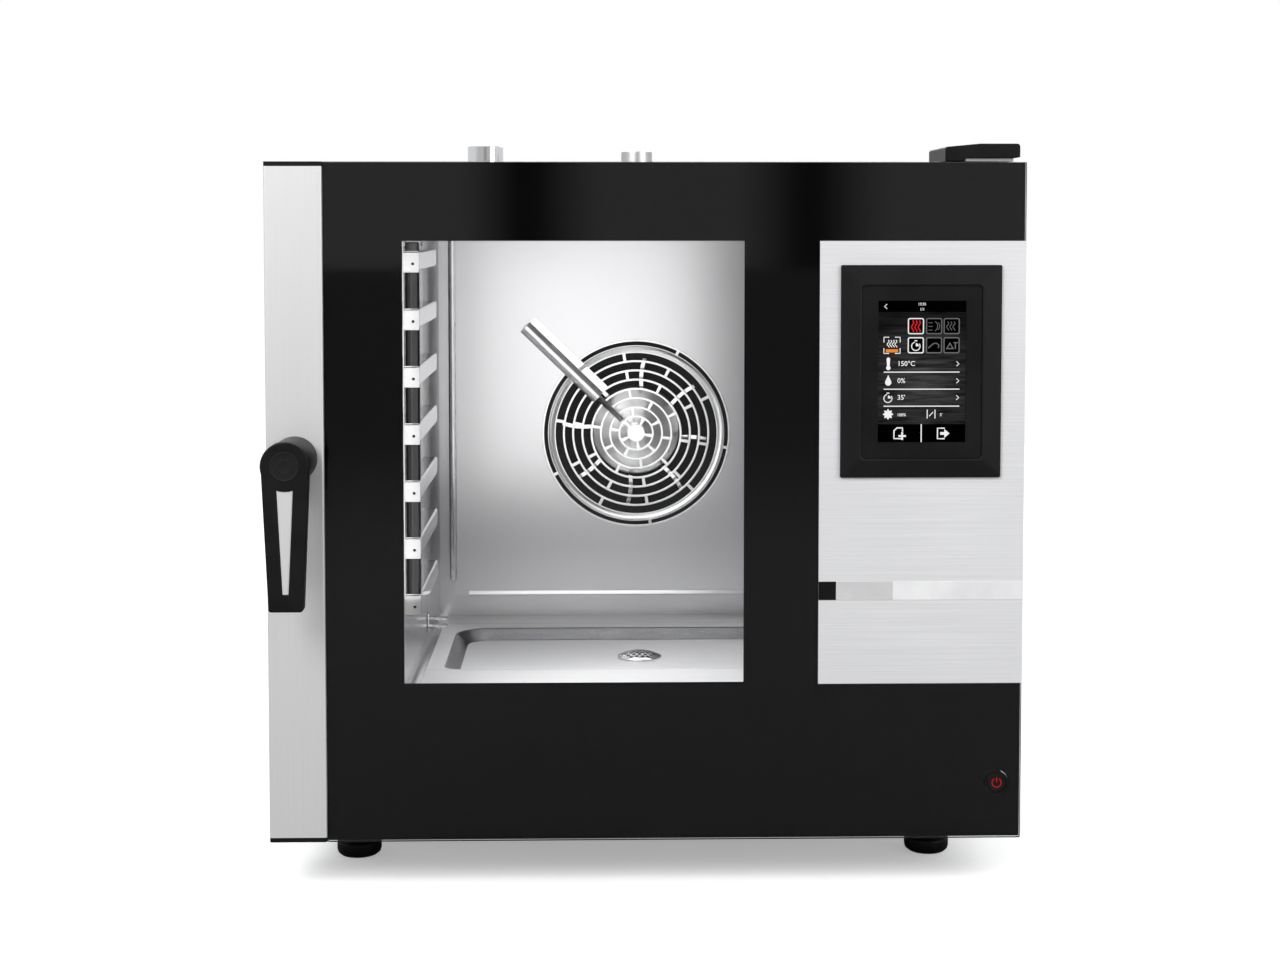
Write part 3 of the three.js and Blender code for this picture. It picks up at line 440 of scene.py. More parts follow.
def rodMesh(radius, start, end, sides=32):
    # a plain cutter between two points
    start, end = Vector(start), Vector(end)
    turn = (end - start).to_track_quat("Z", "Y").to_matrix().to_4x4()
    rings = []
    for height in (0, (end - start).length):
        circle = circlePoints(0, 0, radius, sides)
        ring = [Vector((x * mm, y * mm, height)) for x, y in circle]
        rings.append([turn @ spot + start for spot in ring])
    return loftMesh(rings)


def carve(body, added=(), removed=()):
    # joins and cuts closed meshes, and gives back the mesh that is left
    holder = bpy.data.objects.new("carved", body)
    tools = []
    for operation, meshes in (("UNION", added), ("DIFFERENCE", removed)):
        for mesh in meshes:
            tool = bpy.data.objects.new("cutter", mesh)
            modifier = holder.modifiers.new("carve", "BOOLEAN")
            modifier.operation = operation
            modifier.solver = "EXACT"
            modifier.object = tool
            tools.append(tool)
    for item in [holder] + tools:
        bpy.context.scene.collection.objects.link(item)
    graph = bpy.context.evaluated_depsgraph_get()
    mesh = bpy.data.meshes.new_from_object(holder.evaluated_get(graph))
    for item in [holder] + tools:
        bpy.data.objects.remove(item)
    mesh.materials.clear()
    return mesh


def dress(node, material):
    # gives a carried-over CAD node its finish
    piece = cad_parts[node]
    piece.data.materials.clear()
    piece.data.materials.append(finishes[material])


def makeCamera():
    settings = {"place": (-50.3, -2440.0, 726.0), "yaw": 1.21, "pitch": 3.04, "lens": 53.65, "shiftY": -0.12}
    data = bpy.data.cameras.new("studioCamera")
    camera = bpy.data.objects.new("studioCamera", data)
    bpy.context.scene.collection.objects.link(camera)
    camera.location = Vector(settings["place"]) * mm
    camera.rotation_euler = (math.radians(90 - settings["pitch"]), 0, math.radians(-settings["yaw"]))
    data.lens = settings["lens"]
    data.sensor_width = 36.0
    data.shift_y = settings["shiftY"]
    data.clip_start = 0.01
    data.clip_end = 100.0
    bpy.context.scene.camera = camera


def areaLight(name, place, aim, size, power):
    data = bpy.data.lights.new(name, "AREA")
    data.shape = "RECTANGLE"
    data.size, data.size_y = size
    data.energy = power
    lamp = bpy.data.objects.new(name, data)
    bpy.context.scene.collection.objects.link(lamp)
    lamp.location = place
    lamp.rotation_euler = (Vector(aim) - Vector(place)).to_track_quat("-Z", "Y").to_euler()
    return lamp


def makeWorld():
    world = bpy.data.worlds.new("studioWorld")
    bpy.context.scene.world = world
    world.use_nodes = True
    tree = world.node_tree
    tree.nodes.clear()
    ways = addNode(tree, "SeparateXYZ", {0: addNode(tree, "TexCoord").outputs["Generated"]}).outputs
    # the room in front of the door has two narrow dark uprights between its soft boxes
    reach = addNode(tree, "Math", {0: ways["X"], 1: ways["Y"]}, operation="DIVIDE").outputs[0]
    tones = [(0.0, 0.6), (0.41, 0.54), (0.445, 0.05), (0.46, 0.05), (0.5, 0.52),
             (0.59, 0.52), (0.63, 0.06), (0.645, 0.06), (0.69, 0.54), (1.0, 0.6)]
    front = ramp(tree, spread(tree, reach, 0.0, 1.0, 0.4, -0.4), [(at, (tone,) * 3) for at, tone in tones])
    facing = spread(tree, ways["Y"], 0.0, 1.0, -0.75, -0.35)
    room = addNode(tree, "MixRGB", {0: facing, 1: front, 2: (0.85, 0.86, 0.88, 1)}).outputs[0]
    lit = addNode(tree, "Background", {"Color": room, "Strength": 0.9})
    seen = addNode(tree, "Background", {"Color": (1, 1, 1, 1), "Strength": 1.0})
    cameraRay = addNode(tree, "LightPath").outputs["Is Camera Ray"]
    addNode(tree, "OutputWorld", {"Surface": blended(tree, cameraRay, lit, seen).outputs[0]})


def makeFloor():
    reach = 30
    corners = [(-reach, -reach, 0), (reach, -reach, 0), (reach, reach, 0), (-reach, reach, 0)]
    mesh = meshFrom(corners, [(0, 1, 2, 3)])
    material, tree = newMaterial("paleFloor")
    tone = noiseOn(tree, ovenPoints(tree), 2.0, 2.0)
    # the glow keeps the floor as pale as the backdrop, and the oven's surfaces mirror only the dull one
    pale = addNode(tree, "BsdfPrincipled", {
        "Base Color": ramp(tree, tone, [(0.3, (0.9, 0.9, 0.9)), (0.7, (0.93, 0.93, 0.93))]),
        "Roughness": 0.9,
        "Emission Color": (1, 1, 1, 1),
        "Emission Strength": 0.35})
    dull = addNode(tree, "BsdfDiffuse", {"Color": (0.22, 0.22, 0.22, 1)})
    cameraRay = addNode(tree, "LightPath").outputs["Is Camera Ray"]
    mesh.materials.append(finishWith(material, tree, blended(tree, cameraRay, dull, pale)))
    floor = bpy.data.objects.new("studioFloor", mesh)
    bpy.context.scene.collection.objects.link(floor)


def makeLights():
    areaLight("keyLight", (-1.8, -2.6, 2.4), (0, 0, 0.5), (1.6, 1.6), 82)
    areaLight("fillLight", (2.4, -2.2, 1.6), (0, 0, 0.4), (1.6, 2.0), 42)
    areaLight("backLight", (0.5, 2.8, 2.2), (0, 0, 0.4), (2.0, 1.4), 22)
    # inside the chamber: one lamp under the ceiling, a soft panel behind the door's inner pane,
    # and a strip over the floor behind the baffle
    top = areaLight("chamberTop", (0, -0.1, 0.71), (0, -0.1, 0.15), (0.5, 0.3), 1.25)
    top.data.spread = math.radians(80)
    top.visible_glossy = False
    panel = areaLight("chamberPanel", (-0.078, -0.31, 0.51), (-0.078, 0.2, 0.51), (0.4, 0.42), 0.84)
    panel.visible_camera = False
    under = areaLight("chamberRear", (0, 0.235, 0.208), (0, 0.235, 0.1), (0.48, 0.03), 0.06)
    under.visible_glossy = False


def setView():
    view = bpy.context.scene.view_settings
    view.view_transform = "Standard"
    view.look = "None"
    view.exposure = 0.0


makeCamera()
makeWorld()
makeFloor()
makeLights()
setView()
print("camera and studio placed")


carried = {
    "base_frame": "zinc", "side_panel_left": "panel", "side_panel_right": "panel", "top_panel": "topPanel",
    "rear_panel": "zinc", "front_frame": "chamber", "insulation_blanket": "wool",
    "door_gasket": "rubber", "fan_baffle": "baffle", "fan_motor": "casting", "heating_element": "element",
    "injection_tube": "polished", "inlet_valve": "brass", "drain_pipe": "zinc", "damper_motor": "plastic",
    "hinge_bracket_upper": "satin", "hinge_bracket_lower": "satin", "latch_keeper": "chamber",
    "power_board": "board", "motor_shaft": "polished", "vent_damper": "satin",
    "door_print_mask": "enamel", "door_shell": "chamber",
    "window_surround": "plastic", "door_inner_glass": "innerGlass", "door_lamp": "lamp",
    "door_column": "column", "column_cap_upper": "plastic", "column_cap_lower": "plastic",
    "control_fascia": "fascia", "display_screen": "plastic", "display_board": "board",
    "hinge_bush_upper": "brass", "hinge_bush_lower": "brass", "power_switch": "plastic",
    "handle_shaft": "satin", "latch_cam": "satin", "cable_gland": "plastic",
}
for nodeName, finishName in carried.items():
    dress(nodeName, finishName)


def makeDoorGlass():
    low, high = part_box("door_glass")
    size = high - low
    loop = roundRect(0, size.x / mm, 0, size.z / mm, 2.0, 4)
    button = middleOf("power_button")
    hole = circlePoints((button.x - low.x) / mm, (button.z - low.z) / mm, 13.0, 48)
    mesh = plateMesh([loop, hole], size.y / mm, 0.6, 2)
    standUp(mesh, low.x, (low.y + high.y) / 2, low.z)
    finishMesh("doorGlassPane", mesh, "glass", "door", ["door_glass"])


def makeFasciaStripe():
    # the printed stripe across the control panel: each step's start, end and tone
    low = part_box("control_fascia")[0]
    stripe = {"bottom": 92.0, "top": 112.2, "steps": [(0, 19, 0.006), (19, 81, 0.53), (81, 222, 0.72)]}
    for number, (start, end, value) in enumerate(stripe["steps"], 1):
        loop = roundRect(start, end, stripe["bottom"], stripe["top"], 0.15, 2)
        mesh = standUp(plateMesh([loop], 0.3, 0.05, 1), low.x, low.y - 0.2 * mm, low.z)
        ink = printInk(f"stripeInk{number}", value)
        finishMesh(f"stripeStep{number}", mesh, ink, "door")


def makeBezel():
    low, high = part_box("display_bezel")
    bezel = {"inner": (22.0, 152.6, 20.6, 208.0), "corner": 5.0, "rim": 1.2}
    width, height = (high.x - low.x) / mm, (high.z - low.z) / mm
    back = high.y / mm
    x0, x1, z0, z1 = bezel["inner"]
    steps = 6
    outer = roundRect(0, width, 0, height, 1.6, steps)
    shoulder = roundRect(bezel["rim"], width - bezel["rim"], bezel["rim"], height - bezel["rim"], 1.2, steps)
    crest = roundRect(x0 - 1.6, x1 + 1.6, z0 - 1.6, z1 + 1.6, bezel["corner"] + 1.4, steps)
    groove = roundRect(x0, x1, z0, z1, bezel["corner"], steps)
    front = low.y / mm
    rings = [(outer, back), (outer, back - 2.4), (shoulder, back - 3.4), (crest, front),
             (groove, front + 0.6), (groove, front + 2.4), (groove, back - 1.4)]
    placed = [[Vector((low.x + x * mm, depth * mm, low.z + z * mm)) for x, z in loop]
              for loop, depth in rings]
    mesh = loftMesh(placed, True)
    finishMesh("displayBezel", mesh, "bezelPlastic", "door", ["display_bezel"], 20)
    # the flat inner frame, with the picture's window cut in it
    screen = screenArea()
    window = roundRect(screen["x0"], screen["x1"], screen["z0"], screen["z1"], 0.4, 2)
    inner = roundRect(low.x / mm + x0 + 0.3, low.x / mm + x1 - 0.3, low.z / mm + z0 + 0.3,
                      low.z / mm + z1 - 0.3, bezel["corner"], steps)
    mesh = standUp(plateMesh([inner, window], 2.0, 0.2, 1), 0, (front + 2.6) * mm, 0)
    finishMesh("displayInnerFrame", mesh, "plastic", "door")


def screenArea():
    low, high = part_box("display_screen")
    border = 16.5
    return {"x0": low.x / mm + border, "x1": high.x / mm - border, "z0": low.z / mm + border,
            "z1": high.z / mm - border, "front": low.y / mm}


def textMesh(text, size):
    data = bpy.data.curves.new("letters", "FONT")
    data.body = text
    data.size = size * mm
    data.align_x = "LEFT"
    data.align_y = "CENTER"
    data.extrude = 0.02 * mm
    data.offset = 0.05 * mm
    return bakedMesh(data)


def strokeLoop(points, wide):
    # outline of a line of even width through the points
    left, right = [], []
    for i, (x, y) in enumerate(points):
        ax, ay = points[max(i - 1, 0)]
        bx, by = points[min(i + 1, len(points) - 1)]
        length = math.hypot(bx - ax, by - ay) or 1.0
        nx, ny = -(by - ay) / length * wide / 2, (bx - ax) / length * wide / 2
        left.append((x + nx, y + ny))
        right.append((x - nx, y - ny))
    return left + right[::-1]


def makeMenu():
    # the menu on the display: plain symbols and numbers, in millimetres from the picture's top left
    screen = screenArea()
    wide, high = screen["x1"] - screen["x0"], screen["z1"] - screen["z0"]
    depth = screen["front"] - 0.15
    thin, head, foot = 0.06, 12.2, 133.6
    inks = {
        "white": glowing("menuWhite", (0.86, 0.86, 0.86), (0.94, 0.94, 0.94)),
        "grey": glowing("menuGrey", (0.13, 0.13, 0.13), (0.17, 0.17, 0.17)),
        "red": glowing("menuRed", (0.55, 0.02, 0.025), (0.66, 0.03, 0.03)),
        "orange": glowing("menuOrange", (0.8, 0.2, 0.02), (0.9, 0.26, 0.03)),
        "black": glowing("menuBlack", (0.0004, 0.0004, 0.0004), (0.0008, 0.0008, 0.0008)),
    }
    drawn = {key: [] for key in inks}

    def flat(ink, loops, lift=0.0):
        mesh = plateMesh([[(x, high - y) for x, y in loop] for loop in loops], thin)
        drawn[ink].append(standUp(mesh, screen["x0"] * mm, (depth - lift) * mm, screen["z0"] * mm))

    def bar(ink, x0, x1, y0, y1, radius=0.1, steps=1, lift=0.0):
        flat(ink, [roundRect(x0, x1, y0, y1, radius, steps)], lift)

    def stroke(ink, points, line, lift=0.0):
        flat(ink, [strokeLoop(points, line)], lift)

    def frameBox(ink, x, y):
        side, line = 17.5, 1.2
        outer = roundRect(x, x + side, y, y + side, 2.2, 4)
        inner = roundRect(x + line, x + side - line, y + line, y + side - line, 1.3, 4)
        flat(ink, [outer, inner])

    def words(text, x, y, size):
        mesh = textMesh(text, size)
        place = ((screen["x0"] + x) * mm, depth * mm, (screen["z0"] + high - y) * mm)
        drawn["white"].append(standUp(mesh, *place))

    def chevron(x, y, turn=1):
        back, tip = x - 1.4 * turn, x + 1.4 * turn
        stroke("white", [(back, y - 2.4), (tip, y), (back, y + 2.4)], 0.9)

    def wave(x, y, ink, tall, line):
        steps = 12
        points = [(x + 1.1 * math.sin(t / steps * 2.6 * math.pi), y - tall / 2 + tall * t / steps)
                  for t in range(steps + 1)]
        stroke(ink, points, line, 0.02)

    def stopwatch(x, y, radius):
        stroke("white", arcPoints(x, y, radius, -0.2 * math.pi, 1.42 * math.pi, 24), 1.0)
        flat("white", [[(x, y)] + arcPoints(x, y, radius * 0.72, -math.pi / 2, 0, 8)])
        bar("white", x - 1.5, x + 1.5, y - radius - 1.9, y - radius - 0.7, 0.3, 2)

    bar("black", 0, wide, 0, head, lift=-0.06)
    bar("black", 0, wide, foot, high, lift=-0.06)
    chevron(8.2, 6.2, -1)
    words("13:35", 43.0, 3.8, 4.0)
    words("1/1", 45.0, 9.4, 4.2)
    # six boxes: heat, steam, both, time, probe and temperature difference
    first, second, third = 32.2, 51.9, 70.9
    for top in (18.7, 39.4):
        for left in (first, second, third):
            frameBox("white" if left == first else "grey", left, top)
            bar("black", left + 1.1, left + 16.4, top + 1.1, top + 16.4, 1.3, 3, -0.04)
    for step in (-3.6, 0, 3.6):
        wave(first + 8.8 + step, 27.5, "red", 12.5, 1.5)
    for step in range(3):
        bar("grey", second + 2.6, second + 7.2, 23.4 + step * 4, 24.1 + step * 4, 0.2)
        wave(third + 4.4 + step * 3.4, 27.5, "grey", 9.5, 0.7)
    stroke("grey", arcPoints(second + 6.6, 27.5, 6.0, -1.0, 1.0, 10), 0.8)
    stroke("grey", arcPoints(second + 9.4, 27.5, 5.4, -0.8, 0.8, 10), 0.7)
    stopwatch(first + 8.8, 49.2, 4.6)
    probe = [(2.6, 51.2), (8.0, 46.4), (11.4, 45.8), (14.2, 48.2), (13.4, 51.0)]
    stroke("grey", [(second + x, y) for x, y in probe], 1.2)
    delta = [(2.6, 52.4), (7.0, 44.8), (11.4, 52.4)]
    core = [(4.6, 51.2), (7.0, 47.0), (9.4, 51.2)]
    flat("grey", [[(third + x, y) for x, y in loop] for loop in (delta, core)])
    stroke("grey", [(third + 11.0, 45.4), (third + 15.6, 45.4)], 1.1)
    stroke("grey", [(third + 12.9, 45.4), (third + 12.9, 52.2)], 1.2)
    # preheat: four corner brackets round four waves and an orange bar
    for x, y, dx, dy in ((6.5, 39.4, 1, 1), (24.0, 39.4, -1, 1), (6.5, 56.9, 1, -1), (24.0, 56.9, -1, -1)):
        stroke("white", [(x, y + 5.6 * dy), (x, y), (x + 5.6 * dx, y)], 1.0)
    for step in (-4.2, -1.4, 1.4, 4.2):
        wave(15.2 + step, 46.4, "white", 8.0, 0.9)
    bar("orange", 8.6, 21.9, 52.4, 55.8, 0.3, 2)
    for centre, line, text in ((68.2, 76.6, "150°C"), (86.6, 95.1, "0%"), (104.8, 113.5, "35'")):
        words(text, 21.2, centre, 7.4)
        chevron(86.6, centre)
        bar("white", 6.5, 88.6, line, line + 1.1, 0.2, 2)
    # thermometer, drop, stopwatch, fan and flap beside their values
    bulb = arcPoints(11.4, 72.6, 2.4, -0.3 * math.pi, 1.3 * math.pi, 16)
    flat("white", [bulb + arcPoints(11.4, 63.2, 1.9, -math.pi, 0, 10)])
    flat("white", [[(11.4, 80.2)] + arcPoints(11.4, 88.4, 3.4, -0.12 * math.pi, 1.12 * math.pi, 18)])
    stopwatch(11.2, 105.6, 4.4)
    petals = []
    for i in range(96):
        angle = i / 96 * 2 * math.pi
        radius = 4.7 + 0.9 * math.cos(8 * angle)
        petals.append((11.4 + radius * math.cos(angle), 122.8 + radius * math.sin(angle)))
    flat("white", [petals])
    words("100%", 21.2, 123.6, 4.4)
    bar("white", 53.4, 54.4, 117.8, 127.4)
    bar("white", 61.8, 62.8, 117.8, 127.4)
    stroke("white", [(56.0, 125.0), (60.2, 120.4)], 0.9)
    words("5'", 67.4, 123.6, 4.4)
    bar("white", 46.9, 48.1, foot, high)
    # a page with a plus, and a box with an arrow
    page = [(26.0, 149.2), (18.0, 149.2), (18.0, 140.6), (21.2, 137.6), (27.2, 137.6), (27.2, 141.6)]
    stroke("white", page, 1.5)
    bar("white", 22.8, 31.0, 145.4, 147.4)
    bar("white", 25.9, 27.9, 142.2, 150.6)
    stroke("white", [(73.0, 138.0), (65.2, 138.0), (65.2, 149.4), (73.0, 149.4)], 1.5)
    flat("white", [[(68.2, 142.2), (72.6, 142.2), (72.6, 138.9), (78.2, 143.7),
                    (72.6, 148.5), (72.6, 145.2), (68.2, 145.2)]])
    for key, meshes in drawn.items():
        name = "menu" + key.capitalize()
        finishMesh(name, joinMeshes(meshes), inks[key], "door")
    mesh = plateMesh([roundRect(0, wide, 0, high, 0.3, 2)], thin)
    standUp(mesh, screen["x0"] * mm, (depth + 0.1) * mm, screen["z0"] * mm)
    finishMesh("menuPicture", mesh, screenPicture("menuSlate"), "door")


def makePowerButton():
    low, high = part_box("power_button")
    centre = middleOf("power_button")
    depth = (high.y - low.y) / mm
    cap = [(0, 0.35), (7.4, 0.3), (8.6, 0), (9.9, 0.05), (10.5, 0.5), (10.6, 1.2), (10.6, depth), (0, depth)]
    mesh = turnedMesh(cap, (centre.x, low.y, centre.z), "Y", 64)
    finishMesh("powerButtonCap", mesh, "plastic", "power_button", ["power_button"])
    symbol = {"radius": 5.0, "line": 1.1, "barTop": 6.0}
    arc = arcPoints(0, 0, symbol["radius"], math.radians(122), math.radians(418), 28)
    ring = strokeLoop(arc, symbol["line"])
    bar = roundRect(-symbol["line"] / 2, symbol["line"] / 2, 0.4, symbol["barTop"], 0.4, 3)
    shapes = [plateMesh([loop], 0.1) for loop in (ring, bar)]
    sign = standUp(joinMeshes(shapes), centre.x, low.y + 0.2 * mm, centre.z)
    red = glowing("powerRed", (0.42, 0.008, 0.008), (0.5, 0.012, 0.012))
    finishMesh("powerSign", sign, red, "power_button")


def leverLoop():
    hub, length, lowHalf, corner, shoulder = 25.6, 153.0, 18.0, 3.0, 0.3
    points = arcPoints(0, 0, hub, -shoulder, math.pi + shoulder, 48)
    points += arcPoints(-lowHalf + corner, -length + corner, corner, math.pi, 1.5 * math.pi, 6)
    points += arcPoints(lowHalf - corner, -length + corner, corner, 1.5 * math.pi, 2 * math.pi, 6)
    return points


def inlayLoop(shrink):
    radius = 26.2 + shrink
    half = 0.34 - shrink / radius
    points = arcPoints(0, 0, radius, -math.pi / 2 - half, -math.pi / 2 + half, 12)
    return points + [(3.45 - shrink, -134.7 + shrink), (-3.45 + shrink, -134.7 + shrink)]


def makeHandle():
    low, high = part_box("handle_lever")
    shaft = middleOf("handle_shaft")
    thick = (high.y - low.y) / mm
    face, edge = 6.0, 1.4
    front = plateMesh([leverLoop(), inlayLoop(0)], face, edge, 3)
    standUp(front, shaft.x, low.y + face / 2 * mm, shaft.z)
    back = plateMesh([leverLoop()], thick - face + edge, edge, 3)
    standUp(back, shaft.x, (low.y + high.y) / 2 + (face - edge) / 2 * mm, shaft.z)
    lever = joinMeshes([front, back])
    finishMesh("handleLever", lever, "plastic", "handle", ["handle_lever"], 40)
    inlay = plateMesh([inlayLoop(0.25)], 2.6, 0.3, 2)
    standUp(inlay, shaft.x, low.y + 2.9 * mm, shaft.z)
    finishMesh("handleInlay", inlay, "column", "handle", ["handle_inlay"])
    # a plain shallow dish with two rings on the hub
    dish = [(0.0, -0.2), (6.0, -0.2), (6.8, -0.5), (7.6, -0.2), (13.6, -0.2), (14.4, -0.6), (15.4, -0.5),
            (15.9, 0.1), (0.0, 0.1)]
    mesh = turnedMesh(dish, (shaft.x, low.y, shaft.z), "Y", 72)
    finishMesh("handleDisc", mesh, "greyPlastic", "handle")
    postLow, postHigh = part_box("handle_post")
    length = (postHigh.y - postLow.y) / mm
    post = [(6.5, 0.0), (23.4, 0.0), (24.4, 1.0), (24.4, length - 3), (24.0, length), (6.5, length)]
    mesh = turnedMesh(post, (shaft.x, postLow.y, shaft.z), "Y", 72, True)
    finishMesh("handlePost", mesh, "plastic", "door", ["handle_post"])


def makeHingeCover():
    low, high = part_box("hinge_cover")
    x0, x1, z0, z1 = low.x / mm, high.x / mm, low.z / mm, high.z / mm
    loop = [(x0, z0), (x0 + 20.5, z0), (x0 + 23, z0 + 3.2), (x1 - 4.5, z0 + 3.2), (x1, z0 + 4.2)]
    loop += arcPoints(x1 - 3.4, z1 - 3.4, 3.4, 0, math.pi / 2, 6)
    loop += [(x0 + 38, z1), (x0 + 3.4, z1 - 3.3)]
    loop += arcPoints(x0 + 3.0, z1 - 6.3, 3.0, math.pi / 2, math.pi, 6)[1:]
    depth = (high.y - low.y) / mm
    mesh = standUp(plateMesh([loop], depth, 1.2, 3), 0, (low.y + high.y) / 2, 0)
    finishMesh("hingeCover", mesh, "plastic", "root", ["hinge_cover"], 35)


def makeFeet():
    height = 59.7
    pad = [(0, 0), (17, 0), (21.5, 0.9), (24.4, 3.4), (25.5, 7), (25.5, 14.2), (24.6, 16.2), (22.6, 17),
           (16.4, 17), (15.4, 18), (15.0, 20)]
    stem = [(15.0, 46.6), (14.2, 48), (11.4, 48), (11.0, 49), (11.0, height), (0, height)]
    for node in ("foot_front_left", "foot_front_right", "foot_rear_left", "foot_rear_right"):
        middle = middleOf(node)
        name = "".join(word.capitalize() for word in node.split("_"))
        mesh = turnedMesh(pad + stem, (middle.x, middle.y, 0), "Z", 56)
        finishMesh(name[0].lower() + name[1:], mesh, "plastic", "root", [node])


def makePipes():
    low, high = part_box("vent_pipe")
    middle = middleOf("vent_pipe")
    tall = (high.z - low.z) / mm
    wall = [(24.0, 0), (24.0, tall - 0.6), (23.5, tall), (22.9, tall), (22.5, tall - 0.6), (22.5, 0)]
    mesh = turnedMesh(wall, (middle.x, middle.y, low.z), "Z", 72, True)
    finishMesh("ventPipe", mesh, "polished", "root", ["vent_pipe"])
    low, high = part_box("relief_pipe")
    middle = (low + high) / 2
    tall = (high.z - low.z) / mm
    cap = [(21.0, 0), (21.0, tall - 3.4), (20.2, tall - 1.6), (17.5, tall - 0.5), (9, tall), (0, tall),
           (0, tall - 1.4), (9, tall - 1.4), (17, tall - 2.2), (19.5, tall - 4), (19.5, 0)]
    mesh = turnedMesh(cap, (middle.x, middle.y, low.z), "Z", 72)
    finishMesh("reliefPipe", mesh, "satin", "root", ["relief_pipe"])


def atDepth(d):
    # millimetres behind the door's front face
    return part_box("door_glass")[0][1] + d * mm


def makeChamber():
    low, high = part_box("chamber_liner")
    chamber = {"skin": 1.2, "corner": 14.0, "wellDeep": 14.0, "wellInset": 34.0, "wellFront": 344.0,
               "wellRear": 587.0, "tight": 15.0, "wide": 44.0, "seams": (618.0, 338.0)}
    skin = chamber["skin"]
    half, ceiling = high.x / mm - skin, high.z / mm - skin
    floor = low.z / mm + skin + chamber["wellDeep"]
    wellHalf = half - chamber["wellInset"]

    def section(grow):
        corner = chamber["corner"] + grow
        return roundRect(-half - grow, half + grow, floor - grow, ceiling + grow, corner, 12)

    def wellRing(grow, height):
        # wide corners behind, tight ones in front
        tight, wide = max(chamber["tight"] + grow, 0.8), chamber["wide"] + grow
        side, front, rear = wellHalf + grow, chamber["wellFront"] - grow, chamber["wellRear"] + grow
        corners = [(side - tight, front + tight, tight), (side - wide, rear - wide, wide),
                   (wide - side, rear - wide, wide), (tight - side, front + tight, tight)]
        ring = []
        for number, (x, d, radius) in enumerate(corners):
            start = (number - 1) * math.pi / 2
            ring += arcPoints(x, d, radius, start, start + math.pi / 2, 14)
        return [(x * mm, atDepth(d), height * mm) for x, d in ring]

    deep = chamber["wellDeep"]
    shell = [(skin, 2.0), (skin, 0.0), (skin - deep, -deep - skin)]
    hollow = [(2.4, 4.0), (2.4, 0.0), (1.2, -0.35), (0.2, -1.1), (1.1 - deep, -deep + 1.0),
              (0.2 - deep, -deep + 0.3), (-0.8 - deep, -deep)]
    outer = loftMesh([wellRing(grow, floor + height) for grow, height in shell])
    inner = loftMesh([wellRing(grow, floor + height) for grow, height in hollow])
    rear = high.y
    holes = []
    shaft, drain = middleOf("motor_shaft"), middleOf("drain_strainer")
    holes.append(rodMesh(18, (shaft.x, rear - 0.01, shaft.z), (shaft.x, rear + 0.01, shaft.z)))
    holes.append(rodMesh(24, (drain.x, drain.y, low.z - 0.01), (drain.x, drain.y, low.z + 0.02), 48))
    for node, radius in (("vent_pipe", 24.4), ("relief_pipe", 21.4)):
        pipe = middleOf(node)
        holes.append(rodMesh(radius, (pipe.x, pipe.y, high.z - 0.01), (pipe.x, pipe.y, high.z + 0.01), 48))
    seams = []
    for d in chamber["seams"]:
        seams.append(boxMesh((-half * mm, atDepth(d), (floor - 0.4) * mm),
                             (half * mm, atDepth(d + 1.0), (floor + 1) * mm)))
    walls = prismMesh(section(skin), low.y, rear)
    space = prismMesh(section(0), low.y - 0.01, rear - skin * mm)
    mesh = carve(walls, [outer], [space, inner] + holes + seams)
    finishMesh("chamberLiner", mesh, "chamber", "root", ["chamber_liner"], 30)
    mesh.materials.append(finishes["chamberFloor"])
    # the rear wall's faces take the steel with the painted shade behind the fan
    mesh.materials.append(finishes["tinted"])
    for face in mesh.polygons:
        if face.normal.z > 0.98 and face.center.z < (floor + 1) * mm:
            face.material_index = 1
        if face.normal.y < -0.98 and face.center.y > rear - 0.01:
            face.material_index = 2


def makeBaffleFolds():
    low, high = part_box("fan_baffle")
    fold = {"radius": 7.5, "skin": 1.2, "deep": 20.0, "bottom": 19.0, "top": 5.0, "lip": 6.0, "reach": 1.6}
    y = low.y / mm
    radius, skin = fold["radius"], fold["skin"]
    for side, edge in ((-1, low.x), (1, high.x)):
        bend = arcPoints(0, y + radius, radius - skin / 2, -math.pi / 2, 0, 8)
        path = [(-3.0, bend[0][1])] + bend + [(bend[-1][0], y + fold["deep"])]
        loop = strokeLoop(path, skin)
        rings = []
        bottom, top = low.z / mm + fold["bottom"], high.z / mm - fold["top"]
        for z, shrink in ((bottom, 0.75), (bottom + 3, 1.0), (top, 1.0)):
            rings.append([(edge + side * a * shrink * mm, b * mm, z * mm) for a, b in loop])
        mesh = loftMesh(rings)
        word = "Left" if side < 0 else "Right"
        finishMesh("baffleFold" + word, mesh, "polished", "root")
    # the turned lip along the bottom edge
    reach, lip = fold["reach"], fold["lip"]
    z = low.z / mm
    path = [(y + 0.2, z + lip), (y - 0.8, z + lip - 1.2), (y - reach, z + 0.8), (y - reach + 0.8, z),
            (y + 1, z - 0.6)]
    profile = strokeLoop(path, 0.9)
    ends = [low.x + 0.02, high.x - 0.02]
    rings = [[(x, a * mm, b * mm) for a, b in profile] for x in ends]
    finishMesh("baffleLip", loftMesh(rings), "baffle", "root")


def rackOpenings(rack, front, rear, upper):
    # the window under a rail, and three small slots beside each end of it
    lower = upper - rack["window"]
    windowFront, windowRear = front + rack["front"], rear - rack["rear"]
    wide, tall = rack["hole"]
    loops = [roundRect(windowFront, windowRear, lower, upper, 4, 5)]
    for step in (-1, 0, 1):
        z = (upper + lower) / 2 + step * rack["holeStep"]
        for d, across, upright in (((front + windowFront) / 2, wide, tall),
                                   ((rear + windowRear) / 2, tall, wide)):
            loops.append(roundRect(d - across / 2, d + across / 2, z - upright / 2, z + upright / 2,
                                   wide / 2 - 0.01, 3))
    return loops


